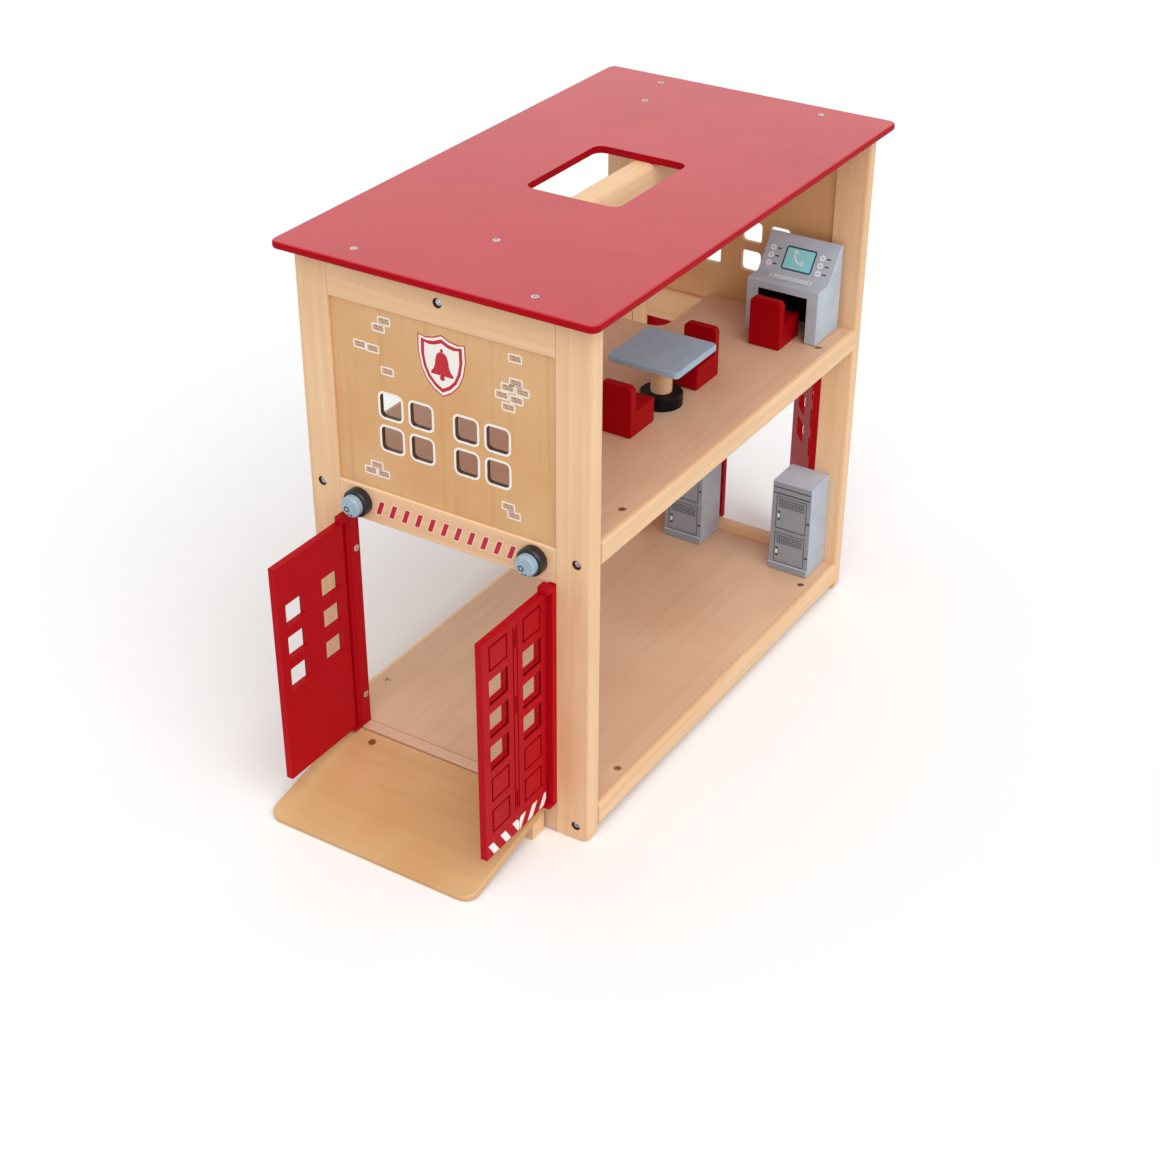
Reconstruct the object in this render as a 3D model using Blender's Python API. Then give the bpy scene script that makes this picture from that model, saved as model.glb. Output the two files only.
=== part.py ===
"""Wooden toy fire station on two storeys.

Two framed end walls carry a red roof, a mezzanine and a ground floor. The long sides are open.
Red doors hang on pins between the lugs of red jambs, a ramp leads up to the front doorway, and
wooden furniture stands on both floors.

Metres, +Z up. The front faces -Y. X = 0 is the middle of the walls and Z = 0 is the ground.
Positions in the functions are measured from the front face of the front wall.
"""
import math

import bmesh
import bpy
from mathutils import Matrix, Vector

# Fits
gap = 0.0003
overrun = 0.001
hole_clearance = 0.0003

# End walls
body_width = 0.259
body_depth = 0.4535
frame_height = 0.4505
frame_thickness = 0.0152
rear_frame_thickness = 0.0103
stile_width = 0.030
top_rail_height = 0.033
middle_rail_bottom = 0.234
middle_rail_height = 0.0305
stile_foot_radius = 0.008
stile_edge_round = 0.003
rail_edge_round = 0.0012
sill_height = 0.037
sill_lift = 0.010
front_sill_thickness = 0.011
front_sill_lift = 0.001
front_sill_round = 0.0006

# Window panels
panel_thickness = 0.004
panel_setback = 0.0025
window_size = 0.0195
window_pitch = 0.0277
window_corner_radius = 0.0035
window_group_spacing = 0.068
window_rows_share = 0.395

# Roof
roof_side_overhang = 0.0105
roof_thickness = 0.006
roof_overhang = 0.014
roof_corner_radius = 0.007
roof_edge_round = 0.0016
hatch_width = 0.085
hatch_length = 0.110
hatch_behind_middle = 0.00325
hatch_corner_radius = 0.009
roof_beam_width = 0.020
roof_beam_height = 0.027
roof_beam_round = 0.004

# Floors
floor_thickness = 0.006
ground_level = 0.029
mezzanine_above_rail = 0.0075
side_beam_height = 0.019
side_beam_width = 0.020
side_beam_lip = 0.005
side_beam_round = 0.002
well_length = 0.0874
well_right = -0.0173
well_corner_radius = 0.014

# Pole
pole_diameter = 0.013
pole_x = -0.0656
pole_to_rear = 0.054
pole_end_round = 0.001

# Wood screws
screw_head_diameter = 0.0062
screw_shank_diameter = 0.0026
screw_head_depth = 0.0022
screw_length = 0.014
screw_slot_width = 0.0012
screw_slot_depth = 0.0007
screw_head_edge_share = 0.25
screw_slot_reach_share = 0.6
roof_screw_inset = 0.0215
roof_beam_screw_y = 0.0755
floor_screw_inset = 0.013
floor_screw_from_wall = 0.0495
floor_screw_before_well = 0.020

# Connector bolts
bolt_head_diameter = 0.0075
bolt_head_depth = 0.0030
bolt_shank_diameter = 0.004
bolt_length = 0.040
bolt_recess = 0.0008
bolt_inset = 0.0125
bolt_below_floor = 0.0153
bolt_below_top = 0.0149

# Joints between stiles and rails
tenon_thickness = 0.005
tenon_length = 0.009
tenon_shoulder = 0.0065
panel_tongue = 0.003

# Jambs
jamb_thickness = 0.0068
jamb_depth = 0.0155
jamb_forward = 0.0045
jamb_round = 0.0005
jamb_cove_radius = 0.0024
jamb_cove_depth = 0.0014
jamb_cove_setback = 0.0029
lug_reach = 0.0026
lug_round = 0.0022
lug_bottom_thickness = 0.002
lug_top_thickness = 0.0042
lug_side = 0.003
jamb_screw_heights = (0.058, 0.200)
jamb_screw_setback = 0.0045

# Door leaves
leaf_thickness = 0.006
leaf_reach = 0.0826
rear_leaf_reach = 0.0918
leaf_gap = 0.0004
leaf_edge_round = 0.0006
leaf_panel_size = 0.0218
leaf_panel_width = 0.024
leaf_row_pitch = 0.0296
leaf_first_row = 0.0215
leaf_outer_column = 0.050
leaf_inner_column = 0.006
leaf_open_rows = (2, 3, 4)
leaf_groove_width = 0.0018
leaf_groove_depth = 0.0018
leaf_pane_inset = 0.0008
leaf_pane_radius = 0.0006
leaf_rabbet_overlap = 0.0003
leaf_rabbet_depth = 0.0012
leaf_seam_width = 0.0014
leaf_seam_spacing = 0.0052
leaf_slot_length = 0.016
leaf_slot_width = 0.0022
leaf_slot_depth = 0.0018
front_left_axis_inset = 0.0023
front_right_axis_inset = 0.0081
rear_axis_inset = 0.005
rear_right_opening = math.radians(50)
quarter_turn = math.radians(90)
half_turn = math.radians(180)

# Hinge pins
pin_diameter = 0.0020
pin_bite = 0.0070
pin_floor = 0.0008

# Ramp
ramp_side_clearance = 0.00025
ramp_middle = -0.00775
ramp_thickness = 0.0055
ramp_front_y = -0.1105
ramp_back_gap = 0.0005
ramp_corner_radius = 0.012
ramp_edge_round = 0.0009
ramp_block_depth = 0.0165
ramp_block_inset = 0.0025
ramp_screw_inset = 0.032
ramp_screw_y = -0.0112

# Lamps
lamp_inset = 0.0192
lamp_rise = 0.0165
lamp_base_diameter = 0.0233
lamp_base_thickness = 0.0078
lamp_cap_diameter = 0.0177
lamp_cap_thickness = 0.006
lamp_round = 0.0014

# Table
table_inset = 0.076
table_behind_middle = 0.00425
table_size = 0.066
table_corner_radius = 0.004
table_top_thickness = 0.006
table_height = 0.0485
table_leg_diameter = 0.018
table_base_diameter = 0.036
table_base_thickness = 0.011
table_tenon_diameter = 0.009
table_tenon_length = 0.004
table_edge_round = 0.0009

# Chairs
chair_width = 0.030
chair_depth = 0.0375
chair_seat_height = 0.0215
chair_back_height = 0.0445
chair_back_thickness = 0.0075
chair_edge_round = 0.0012
chair_back_corner_radius = 0.0045
near_chair_before_table = 0.069
far_chair_behind_table = 0.0327
near_chair_shift = 0.003
desk_chair_inset = 0.0375
desk_chair_before_desk = 0.0255

# Console desk
desk_inset = 0.016
desk_width = 0.069
desk_depth = 0.044
desk_wall_clearance = 0.0057
desk_shelf_height = 0.050
desk_shelf_depth = 0.0195
desk_total_height = 0.0787
desk_top_depth = 0.0025
desk_side_thickness = 0.0108
desk_shelf_thickness = 0.0075
desk_back_thickness = 0.004
desk_edge_round = 0.0008

# Lockers
locker_width = 0.040
locker_depth = 0.0377
locker_height = 0.094
locker_plinth_height = 0.0075
locker_plinth_step = 0.0010
locker_edge_round = 0.0010
left_locker_x = -0.0172
right_locker_inset = 0.01355
locker_groove_width = 0.0007
locker_groove_depth = 0.0006
locker_door_margin = 0.0045
locker_door_split_share = 0.48
locker_top_band = 0.013

# Counts
fine_sides = 20
wide_sides = 28
bore_sides = 12
corner_steps = 5
straight_share = 0.9

# Colours of the finishes
beech = (0.79, 0.53, 0.30, 1.0)
plywood = (0.66, 0.40, 0.19, 1.0)
floor_wood = (0.58, 0.36, 0.21, 1.0)
red_paint = (0.53, 0.012, 0.018, 1.0)
grey_paint = (0.27, 0.29, 0.33, 1.0)
black_paint = (0.012, 0.010, 0.014, 1.0)
blue_paint = (0.42, 0.62, 0.74, 1.0)
steel_metal = (0.62, 0.60, 0.57, 1.0)

# Places worked out from the sizes above
half_width = body_width / 2
doorway_half = half_width - stile_width
top_rail_bottom = frame_height - top_rail_height
middle_rail_top = middle_rail_bottom + middle_rail_height
mezzanine_level = middle_rail_top + mezzanine_above_rail
window_rows_middle = middle_rail_top + window_rows_share * (top_rail_bottom - middle_rail_top)
rear_wall_inside = body_depth - rear_frame_thickness
bolt_x = half_width - bolt_inset
roof_screw_x = doorway_half - roof_screw_inset
floor_screw_x = half_width - floor_screw_inset
hatch_front = (body_depth - hatch_length) / 2 + hatch_behind_middle
pole_y = body_depth - pole_to_rear
well_front = rear_wall_inside - gap - well_length
axis_forward = jamb_forward + leaf_gap + leaf_thickness / 2
leaf_bottom = ground_level + gap + lug_bottom_thickness + leaf_gap
leaf_top = middle_rail_bottom - gap - lug_top_thickness - leaf_gap
leaf_height = leaf_top - leaf_bottom
front_left_axis_x = front_left_axis_inset - doorway_half
front_right_axis_x = doorway_half - front_right_axis_inset
rear_axis_x = doorway_half - rear_axis_inset
ramp_width = 2 * (doorway_half - ramp_side_clearance)
lamp_x = doorway_half - lamp_inset
lamp_height = middle_rail_bottom + lamp_rise
table_x = half_width - table_inset
table_y = body_depth / 2 + table_behind_middle
desk_right = half_width - desk_inset
desk_back = rear_wall_inside - desk_wall_clearance
desk_front = desk_back - desk_depth
near_chair_x = table_x - near_chair_shift
near_chair_front = table_y - near_chair_before_table
far_chair_front = table_y + far_chair_behind_table
desk_chair_x = desk_right - desk_chair_inset
desk_chair_front = desk_front - desk_chair_before_desk
right_locker_x = half_width - right_locker_inset - locker_width / 2
locker_front = rear_wall_inside - gap - locker_depth
open_leaf_reach = rear_leaf_reach * math.sin(rear_right_opening)
open_leaf_corner = leaf_thickness / 2 * math.cos(rear_right_opening)
rear_end = body_depth + axis_forward + open_leaf_reach + open_leaf_corner
front_y = -(rear_end + ramp_front_y) / 2


def clear_scene():
    for old in list(bpy.data.objects):
        bpy.data.objects.remove(old, do_unlink=True)


def finish(name, colour, roughness, metallic=0.0):
    material = bpy.data.materials.new(name)
    material.use_nodes = True
    shader = material.node_tree.nodes["Principled BSDF"]
    shader.inputs["Base Color"].default_value = colour
    shader.inputs["Roughness"].default_value = roughness
    shader.inputs["Metallic"].default_value = metallic
    material.diffuse_color = colour
    return material


def along(axis, first, second, height):
    """A point from two coordinates across an axis and one along it."""
    if axis == "X":
        return Vector((height, first, second))
    if axis == "Y":
        return Vector((first, height, second))
    return Vector((first, second, height))


def add_prism(bm, outline, axis, low, high):
    """A solid with the given outline, in the two other coordinates, from low to high."""
    bottom = [bm.verts.new(along(axis, u, v, low)) for u, v in outline]
    top = [bm.verts.new(along(axis, u, v, high)) for u, v in outline]
    faces = [bm.faces.new(bottom), bm.faces.new(top)]
    count = len(outline)
    for i in range(count):
        j = (i + 1) % count
        faces.append(bm.faces.new((bottom[i], bottom[j], top[j], top[i])))
    bmesh.ops.recalc_face_normals(bm, faces=faces)
    return faces


def add_box(bm, low, high):
    return add_prism(bm, rectangle(low, high), "Z", low[2], high[2])


def circle(centre, radius, sides):
    turn = 2 * math.pi / sides
    return [(centre[0] + radius * math.cos((i + 0.5) * turn),
             centre[1] + radius * math.sin((i + 0.5) * turn)) for i in range(sides)]


def rectangle(low, high):
    return [(low[0], low[1]), (high[0], low[1]), (high[0], high[1]), (low[0], high[1])]


def rounded_rectangle(low, high, radius, steps=corner_steps):
    """The outline of a rectangle with round corners, anticlockwise."""
    corners = [(high[0] - radius, high[1] - radius, 0), (low[0] + radius, high[1] - radius, 1),
               (low[0] + radius, low[1] + radius, 2), (high[0] - radius, low[1] + radius, 3)]
    points = []
    for u, v, quarter in corners:
        for i in range(steps + 1):
            angle = (quarter + i / steps) * math.pi / 2
            points.append((u + radius * math.cos(angle), v + radius * math.sin(angle)))
    return points


def add_ring(bm, outer, inner, axis, low, high):
    """A solid between two outlines with the same number of points."""
    loops = []
    for outline, height in ((outer, low), (outer, high), (inner, high), (inner, low)):
        loops.append([bm.verts.new(along(axis, u, v, height)) for u, v in outline])
    faces = []
    count = len(outer)
    for k in range(4):
        here, there = loops[k], loops[(k + 1) % 4]
        for i in range(count):
            j = (i + 1) % count
            faces.append(bm.faces.new((here[i], here[j], there[j], there[i])))
    bmesh.ops.recalc_face_normals(bm, faces=faces)


def add_turned(bm, profile, axis, centre, sides=fine_sides):
    """A solid turned about an axis, from (radius, height) pairs that start and end at radius 0."""
    rings = []
    for radius, height in profile:
        if radius == 0:
            rings.append([bm.verts.new(along(axis, centre[0], centre[1], height))])
        else:
            rings.append([bm.verts.new(along(axis, u, v, height))
                          for u, v in circle(centre, radius, sides)])
    faces = []
    for here, there in zip(rings, rings[1:]):
        for i in range(sides):
            j = (i + 1) % sides
            corners = [here[0]] if len(here) == 1 else [here[i], here[j]]
            corners += [there[0]] if len(there) == 1 else [there[j], there[i]]
            faces.append(bm.faces.new(corners))
    bmesh.ops.recalc_face_normals(bm, faces=faces)


def round_edges(bm, width, segments=1, chosen=None):
    """Rounds the sharp edges, or those that the given test picks."""
    edges = [e for e in bm.edges if e.calc_face_angle(0) > math.radians(40)]
    if chosen:
        edges = [e for e in edges if chosen(e)]
    bmesh.ops.bevel(bm, geom=edges, offset=width, segments=segments, profile=0.5,
                    affect="EDGES", clamp_overlap=True)


def runs_along(index):
    def test(edge):
        span = edge.verts[1].co - edge.verts[0].co
        return abs(span[index]) > straight_share * span.length
    return test


def place(name, bm, at, turn, parent):
    bmesh.ops.transform(bm, matrix=Matrix.Translation(-Vector(at)), verts=bm.verts)
    mesh = bpy.data.meshes.new(name)
    bm.to_mesh(mesh)
    bm.free()
    piece = bpy.data.objects.new(name, mesh)
    bpy.context.scene.collection.objects.link(piece)
    piece.location = at
    piece.rotation_euler = (turn, 0, 0)
    piece.parent = parent
    return piece


def middle_of(bm):
    low = Vector([min(v.co[i] for v in bm.verts) for i in range(3)])
    high = Vector([max(v.co[i] for v in bm.verts) for i in range(3)])
    return (low + high) / 2


def make_piece(name, bm, material, smooth=False):
    """A finished sub-part with its origin in the middle of its shape."""
    piece = place(name, bm, middle_of(bm), 0, station)
    piece.data.materials.append(material)
    if smooth:
        piece.data.shade_smooth()
        piece.data.set_sharp_from_angle(angle=math.radians(35))
    return piece


def cut(piece, bm, tag="cut"):
    """Cuts the shape in bm, given from the front face of the body, out of a piece."""
    cutter = place(piece.name + "_" + tag, bm, (0, 0, 0), 0, station)
    hollow(piece, cutter, "DIFFERENCE")


def hollow(piece, tool, operation):
    tool.hide_render = True
    tool.display_type = "WIRE"
    change = piece.modifiers.new(tool.name, "BOOLEAN")
    change.operation = operation
    change.solver = "EXACT"
    change.object = tool


def block(name, low, high, material, rounding=0.0, segments=1, chosen=None):
    bm = bmesh.new()
    add_box(bm, low, high)
    if rounding:
        round_edges(bm, rounding, segments, chosen)
    return make_piece(name, bm, material)


def screw_profile(top, sign):
    """A countersunk screw from its head at `top` along the axis, in the direction of `sign`."""
    head = screw_head_diameter / 2
    shank = screw_shank_diameter / 2
    return [(0, top), (head, top), (head, top + sign * screw_head_depth * screw_head_edge_share),
            (shank, top + sign * screw_head_depth), (shank, top + sign * (screw_length - shank)),
            (0, top + sign * screw_length)]


def screw_hole_profile(top, sign, depth):
    head = screw_head_diameter / 2 + hole_clearance
    shank = screw_shank_diameter / 2 + hole_clearance
    bottom = top + sign * depth
    return [(0, top - sign * overrun), (head, top - sign * overrun),
            (head, top + sign * (screw_head_depth * screw_head_edge_share + hole_clearance)),
            (shank, top + sign * (screw_head_depth + hole_clearance)), (shank, bottom), (0, bottom)]


def add_screw_hole(bm, axis, centre, top, sign, depth):
    add_turned(bm, screw_hole_profile(top, sign, depth), axis, centre, bore_sides)


def slot_cross(bm, axis, centre, top, sign):
    """The two crossing slots of a screw head, as one closed plus-shaped solid."""
    long = screw_head_diameter / 2 * screw_slot_reach_share
    short = screw_slot_width / 2
    u, v = centre
    outline = []
    for a, b in ((1, 1), (-1, 1), (-1, -1), (1, -1)):
        arms = [(a * long, b * short), (a * short, b * short), (a * short, b * long)]
        if a * b < 0:
            arms.reverse()
        outline += [(u + x, v + y) for x, y in arms]
    add_prism(bm, outline, axis, top - sign * overrun, top + sign * screw_slot_depth)


def build_screw(name, axis, centre, top, sign):
    """One cross-slotted countersunk screw with its head at `top`."""
    bm = bmesh.new()
    add_turned(bm, screw_profile(top, sign), axis, centre, bore_sides)
    screw = make_piece(name, bm, steel, smooth=True)
    slots = bmesh.new()
    slot_cross(slots, axis, centre, top, sign)
    cut(screw, slots, "slots")


# End walls

def bolt_heights():
    """The heights of the connector bolts, in the part of each beam that is below its floor."""
    return ground_level - bolt_below_floor, mezzanine_level - bolt_below_floor


def wall_faces(rear):
    """The outer face's place along Y, and the direction from it into the station."""
    if rear:
        return body_depth, -1
    return 0.0, 1


def wall_thickness(rear):
    return rear_frame_thickness if rear else frame_thickness


def wall_inside(rear):
    outer, sign = wall_faces(rear)
    return outer + sign * wall_thickness(rear)


def add_bolt_hole(bm, x, z, outer, sign, depth):
    head = bolt_head_diameter / 2 + hole_clearance
    shank = bolt_shank_diameter / 2 + hole_clearance
    seat = outer + sign * (bolt_head_depth + bolt_recess)
    profile = [(0, outer - sign * overrun), (head, outer - sign * overrun), (head, seat), (shank, seat),
               (shank, outer + sign * depth), (0, outer + sign * depth)]
    add_turned(bm, profile, "Y", (x, z), bore_sides)


def add_beam_bore(bm, x, z, rear):
    """The bolt's bore in the end of a beam, past the wall's thickness."""
    outer, sign = wall_faces(rear)
    shank = bolt_shank_diameter / 2 + hole_clearance
    end = outer + sign * (bolt_recess + bolt_length + hole_clearance)
    add_prism(bm, circle((x, z), shank, bore_sides), "Y", wall_inside(rear), end)


def rail_rows():
    return (("top_rail", top_rail_bottom, frame_height), ("middle_rail", middle_rail_bottom, middle_rail_top))


def add_tenon_bar(bm, rear, low, high, clearance):
    """One bar through a rail, whose ends are the tenons. With a clearance it cuts the mortises."""
    outer, sign = wall_faces(rear)
    middle = outer + sign * wall_thickness(rear) / 2
    thick = tenon_thickness / 2 + clearance
    end = doorway_half + tenon_length + clearance
    add_box(bm, (-end, middle - thick, low + tenon_shoulder - clearance),
            (end, middle + thick, high - tenon_shoulder + clearance))


def panel_faces(rear):
    outer, sign = wall_faces(rear)
    return sorted((outer + sign * panel_setback, outer + sign * (panel_setback + panel_thickness)))


def add_panel_groove(bm, rear):
    """The space that the window panel and its clearance take, also in the grooves round it."""
    near, far = panel_faces(rear)
    side = doorway_half + panel_tongue + gap
    add_box(bm, (-side, near - gap, middle_rail_top - panel_tongue - gap),
            (side, far + gap, top_rail_bottom + panel_tongue + gap))


def stile_outline(side):
    """The front view of a stile: its outer foot corner is round."""
    inner = side * doorway_half
    outer = side * half_width
    radius = stile_foot_radius
    points = [(outer, frame_height), (inner, frame_height), (inner, 0)]
    for i in range(corner_steps + 1):
        angle = math.pi / 2 * i / corner_steps
        points.append((outer - side * radius * (1 - math.sin(angle)), radius * (1 - math.cos(angle))))
    return points


def build_stile(side, rear):
    outer, sign = wall_faces(rear)
    near, far = sorted((outer, wall_inside(rear)))
    inner_x = side * doorway_half
    bm = bmesh.new()
    add_prism(bm, stile_outline(side), "Y", near, far)

    def outside_edge(edge):
        ends = [v.co for v in edge.verts]
        on_inner = all(abs(p.x - inner_x) < gap for p in ends)
        on_end = all(p.z > frame_height - gap for p in ends) or all(p.z < gap for p in ends)
        return abs(ends[0].y - ends[1].y) < gap and not on_inner and not on_end
    round_edges(bm, stile_edge_round, 3, outside_edge)
    name = ("rear" if rear else "front") + ("_right" if side > 0 else "_left") + "_stile"
    stile = make_piece(name, bm, beech_wood, smooth=True)
    bores = bmesh.new()
    for z in bolt_heights():
        add_bolt_hole(bores, side * bolt_x, z, outer, sign, wall_thickness(rear) + overrun)
    cut(stile, bores, "bolt_holes")
    joints = bmesh.new()
    for _, low, high in rail_rows():
        add_tenon_bar(joints, rear, low, high, gap)
    cut(stile, joints, "mortises")
    groove = bmesh.new()
    add_panel_groove(groove, rear)
    cut(stile, groove, "panel_groove")


def build_rails(rear):
    outer, sign = wall_faces(rear)
    near, far = sorted((outer, wall_inside(rear)))
    end = doorway_half - gap
    prefix = "rear_" if rear else "front_"
    for name, low, high in rail_rows():
        rail = block(prefix + name, (-end, near, low), (end, far, high), beech_wood, rail_edge_round,
                     chosen=runs_along(0))
        bar = bmesh.new()
        add_tenon_bar(bar, rear, low, high, 0)
        hollow(rail, place(prefix + name + "_tenons", bar, (0, 0, 0), 0, station), "UNION")
        groove = bmesh.new()
        add_panel_groove(groove, rear)
        cut(rail, groove, "panel_groove")
        if name == "top_rail":
            bores = bmesh.new()
            add_bolt_hole(bores, 0, roof_bolt_height(), outer, sign, wall_thickness(rear) + overrun)
            for x in (-roof_screw_x, roof_screw_x):
                add_roof_screw_bore(bores, x, outer + sign * wall_thickness(rear) / 2)
            cut(rail, bores, "bores")


def roof_bolt_height():
    return frame_height - bolt_below_top


def add_roof_screw_bore(bm, x, y):
    radius = screw_shank_diameter / 2 + hole_clearance
    top = frame_height + overrun
    bottom = frame_height + roof_thickness - screw_length - hole_clearance
    add_prism(bm, circle((x, y), radius, bore_sides), "Z", bottom, top)


def window_middles():
    half_pitch = window_pitch / 2
    columns = []
    for group in (-1, 1):
        for column in (-1, 1):
            columns.append(group * window_group_spacing / 2 + column * half_pitch)
    return [(x, window_rows_middle + row * half_pitch) for x in columns for row in (-1, 1)]


def build_window_panel(rear):
    """A thin board held in grooves on all four sides, with two groups of four windows."""
    near, far = panel_faces(rear)
    side = doorway_half + panel_tongue
    name = ("rear" if rear else "front") + "_window_panel"
    panel = block(name, (-side, near, middle_rail_top - panel_tongue),
                  (side, far, top_rail_bottom + panel_tongue), ply_wood)
    holes = bmesh.new()
    half = window_size / 2
    for x, z in window_middles():
        outline = rounded_rectangle((x - half, z - half), (x + half, z + half), window_corner_radius, 3)
        add_prism(holes, outline, "Y", near - overrun, far + overrun)
    cut(panel, holes, "windows")


def build_front_sill():
    """The low rail across the foot of the front doorway, level with the floor behind it."""
    wide = doorway_half - gap
    block("front_sill", (-wide, 0, front_sill_lift), (wide, front_sill_thickness, ground_level), beech_wood,
          front_sill_round, chosen=runs_along(0))


def build_rear_sill():
    """The low rail across the foot of the rear doorway: its upper part stands between the jambs."""
    wide = doorway_half - gap
    narrow = wide - jamb_thickness - gap
    step = ground_level
    outline = [(-wide, sill_lift), (wide, sill_lift), (wide, step), (narrow, step), (narrow, sill_height),
               (-narrow, sill_height), (-narrow, step), (-wide, step)]
    bm = bmesh.new()
    add_prism(bm, outline, "Y", rear_wall_inside, body_depth)
    round_edges(bm, rail_edge_round, 1, lambda e: runs_along(0)(e) and e.calc_length() > doorway_half)
    make_piece("rear_sill", bm, beech_wood)


# Roof

def build_roof():
    half = half_width + roof_side_overhang
    low = frame_height + gap
    top = low + roof_thickness
    bm = bmesh.new()
    outline = rounded_rectangle((-half, -roof_overhang), (half, body_depth + roof_overhang),
                                roof_corner_radius)
    add_prism(bm, outline, "Z", low, top)
    round_edges(bm, roof_edge_round, 2, lambda e: abs(e.verts[0].co.z - e.verts[1].co.z) < gap)
    roof = make_piece("roof_panel", bm, red_finish, smooth=True)
    opening = bmesh.new()
    side = hatch_width / 2
    outline = rounded_rectangle((-side, hatch_front), (side, hatch_front + hatch_length), hatch_corner_radius)
    add_prism(opening, outline, "Z", low - overrun, top + overrun)
    cut(roof, opening, "hatch")
    bores = bmesh.new()
    for _, centre in roof_screws():
        add_screw_hole(bores, "Z", centre, top, -1, roof_thickness + overrun)
    cut(roof, bores, "screws")


def roof_screws():
    """The name and place of each screw in the roof."""
    edge = frame_thickness / 2
    far = body_depth - rear_frame_thickness / 2
    return [("front_left", (-roof_screw_x, edge)), ("front_right", (roof_screw_x, edge)),
            ("rear_left", (-roof_screw_x, far)), ("rear_right", (roof_screw_x, far)),
            ("beam", (0, roof_beam_screw_y)), ("pole", (pole_x, pole_y))]


def build_roof_screws():
    top = frame_height + gap + roof_thickness
    for name, centre in roof_screws():
        build_screw("roof_screw_" + name, "Z", centre, top, -1)


def build_roof_beam():
    side = roof_beam_width / 2
    near = frame_thickness + gap
    far = rear_wall_inside - gap
    beam = block("roof_beam", (-side, near, frame_height - roof_beam_height), (side, far, frame_height),
                 beech_wood, roof_beam_round, 2, runs_along(1))
    bores = bmesh.new()
    add_beam_bore(bores, 0, roof_bolt_height(), False)
    add_beam_bore(bores, 0, roof_bolt_height(), True)
    add_roof_screw_bore(bores, 0, roof_beam_screw_y)
    cut(beam, bores)


# Floors

def build_side_beam(name, side, level):
    """A long rail, rebated along its top inner edge for the floor board."""
    outer = side * half_width
    lip = side * (half_width - side_beam_lip)
    inner = side * (half_width - side_beam_width)
    bottom = level - side_beam_height
    shelf = level - floor_thickness - gap
    outline = [(outer, bottom), (outer, level), (lip, level), (lip, shelf), (inner, shelf), (inner, bottom)]
    bm = bmesh.new()
    add_prism(bm, outline, "Y", frame_thickness + gap, rear_wall_inside - gap)

    def outer_edge(edge):
        return runs_along(1)(edge) and all(abs(v.co.x - outer) < gap for v in edge.verts)
    round_edges(bm, side_beam_round, 2, outer_edge)
    beam = make_piece(name, bm, beech_wood, smooth=True)
    z = level - bolt_below_floor
    bores = bmesh.new()
    add_beam_bore(bores, side * bolt_x, z, False)
    add_beam_bore(bores, side * bolt_x, z, True)
    for y in floor_screw_rows(side, level):
        radius = screw_shank_diameter / 2 + hole_clearance
        bottom_of_bore = level - screw_length - hole_clearance
        add_prism(bores, circle((side * floor_screw_x, y), radius, bore_sides), "Z", bottom_of_bore,
                  shelf + overrun)
    cut(beam, bores)


def floor_screw_rows(side, level):
    """The two screws' places along a beam. Beside the well, the second one stands in front of it."""
    far = rear_wall_inside - floor_screw_from_wall
    if side < 0 and level == mezzanine_level:
        far = well_front - floor_screw_before_well
    return frame_thickness + floor_screw_from_wall, far


def floor_screw_places(level):
    return [(side * floor_screw_x, y) for side in (-1, 1) for y in floor_screw_rows(side, level)]


def finish_floor(name, outline, level, extra_holes=None):
    bm = bmesh.new()
    add_prism(bm, outline, "Z", level - floor_thickness, level)
    floor = make_piece(name, bm, floor_finish)
    bores = bmesh.new()
    for x, y in floor_screw_places(level):
        add_screw_hole(bores, "Z", (x, y), level, -1, floor_thickness + overrun)
    if extra_holes:
        extra_holes(bores)
    cut(floor, bores)


def build_mezzanine_floor():
    side = half_width - side_beam_lip - gap
    near = frame_thickness + gap
    far = rear_wall_inside - gap
    radius = well_corner_radius
    outline = [(-side, near), (side, near), (side, far), (well_right, far)]
    for i in range(corner_steps + 1):
        angle = -math.pi / 2 * i / corner_steps
        outline.append((well_right - radius + radius * math.cos(angle),
                        well_front + radius + radius * math.sin(angle)))
    outline.append((-side, well_front))
    finish_floor("mezzanine_floor", outline, mezzanine_level)


def build_ground_floor():
    side = half_width - side_beam_lip - gap
    near = frame_thickness + gap
    far = rear_wall_inside - gap
    tongue = doorway_half - gap
    start = front_sill_thickness + gap
    outline = [(-tongue, start), (tongue, start), (tongue, near), (side, near), (side, far), (-side, far),
               (-side, near), (-tongue, near)]

    def pole_socket(bm):
        radius = pole_diameter / 2 + hole_clearance
        add_prism(bm, circle((pole_x, pole_y), radius, fine_sides), "Z",
                  ground_level - floor_thickness - overrun, ground_level + overrun)
    finish_floor("ground_floor", outline, ground_level, pole_socket)


def build_pole():
    radius = pole_diameter / 2
    low = ground_level - floor_thickness
    high = frame_height
    tip = radius - pole_end_round
    bm = bmesh.new()
    profile = [(0, low), (tip, low), (radius, low + pole_end_round), (radius, high - pole_end_round),
               (tip, high), (0, high)]
    add_turned(bm, profile, "Z", (pole_x, pole_y))
    pole = make_piece("fire_pole", bm, beech_wood, smooth=True)
    bores = bmesh.new()
    add_roof_screw_bore(bores, pole_x, pole_y)
    cut(pole, bores)


# Jambs and doors

def hinge_axes():
    """Name, wall, side and place of each hinge axis."""
    rear_y = body_depth + axis_forward
    return [("front_left", False, -1, front_left_axis_x, -axis_forward),
            ("front_right", False, 1, front_right_axis_x, -axis_forward),
            ("rear_left", True, -1, -rear_axis_x, rear_y),
            ("rear_right", True, 1, rear_axis_x, rear_y)]


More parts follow.
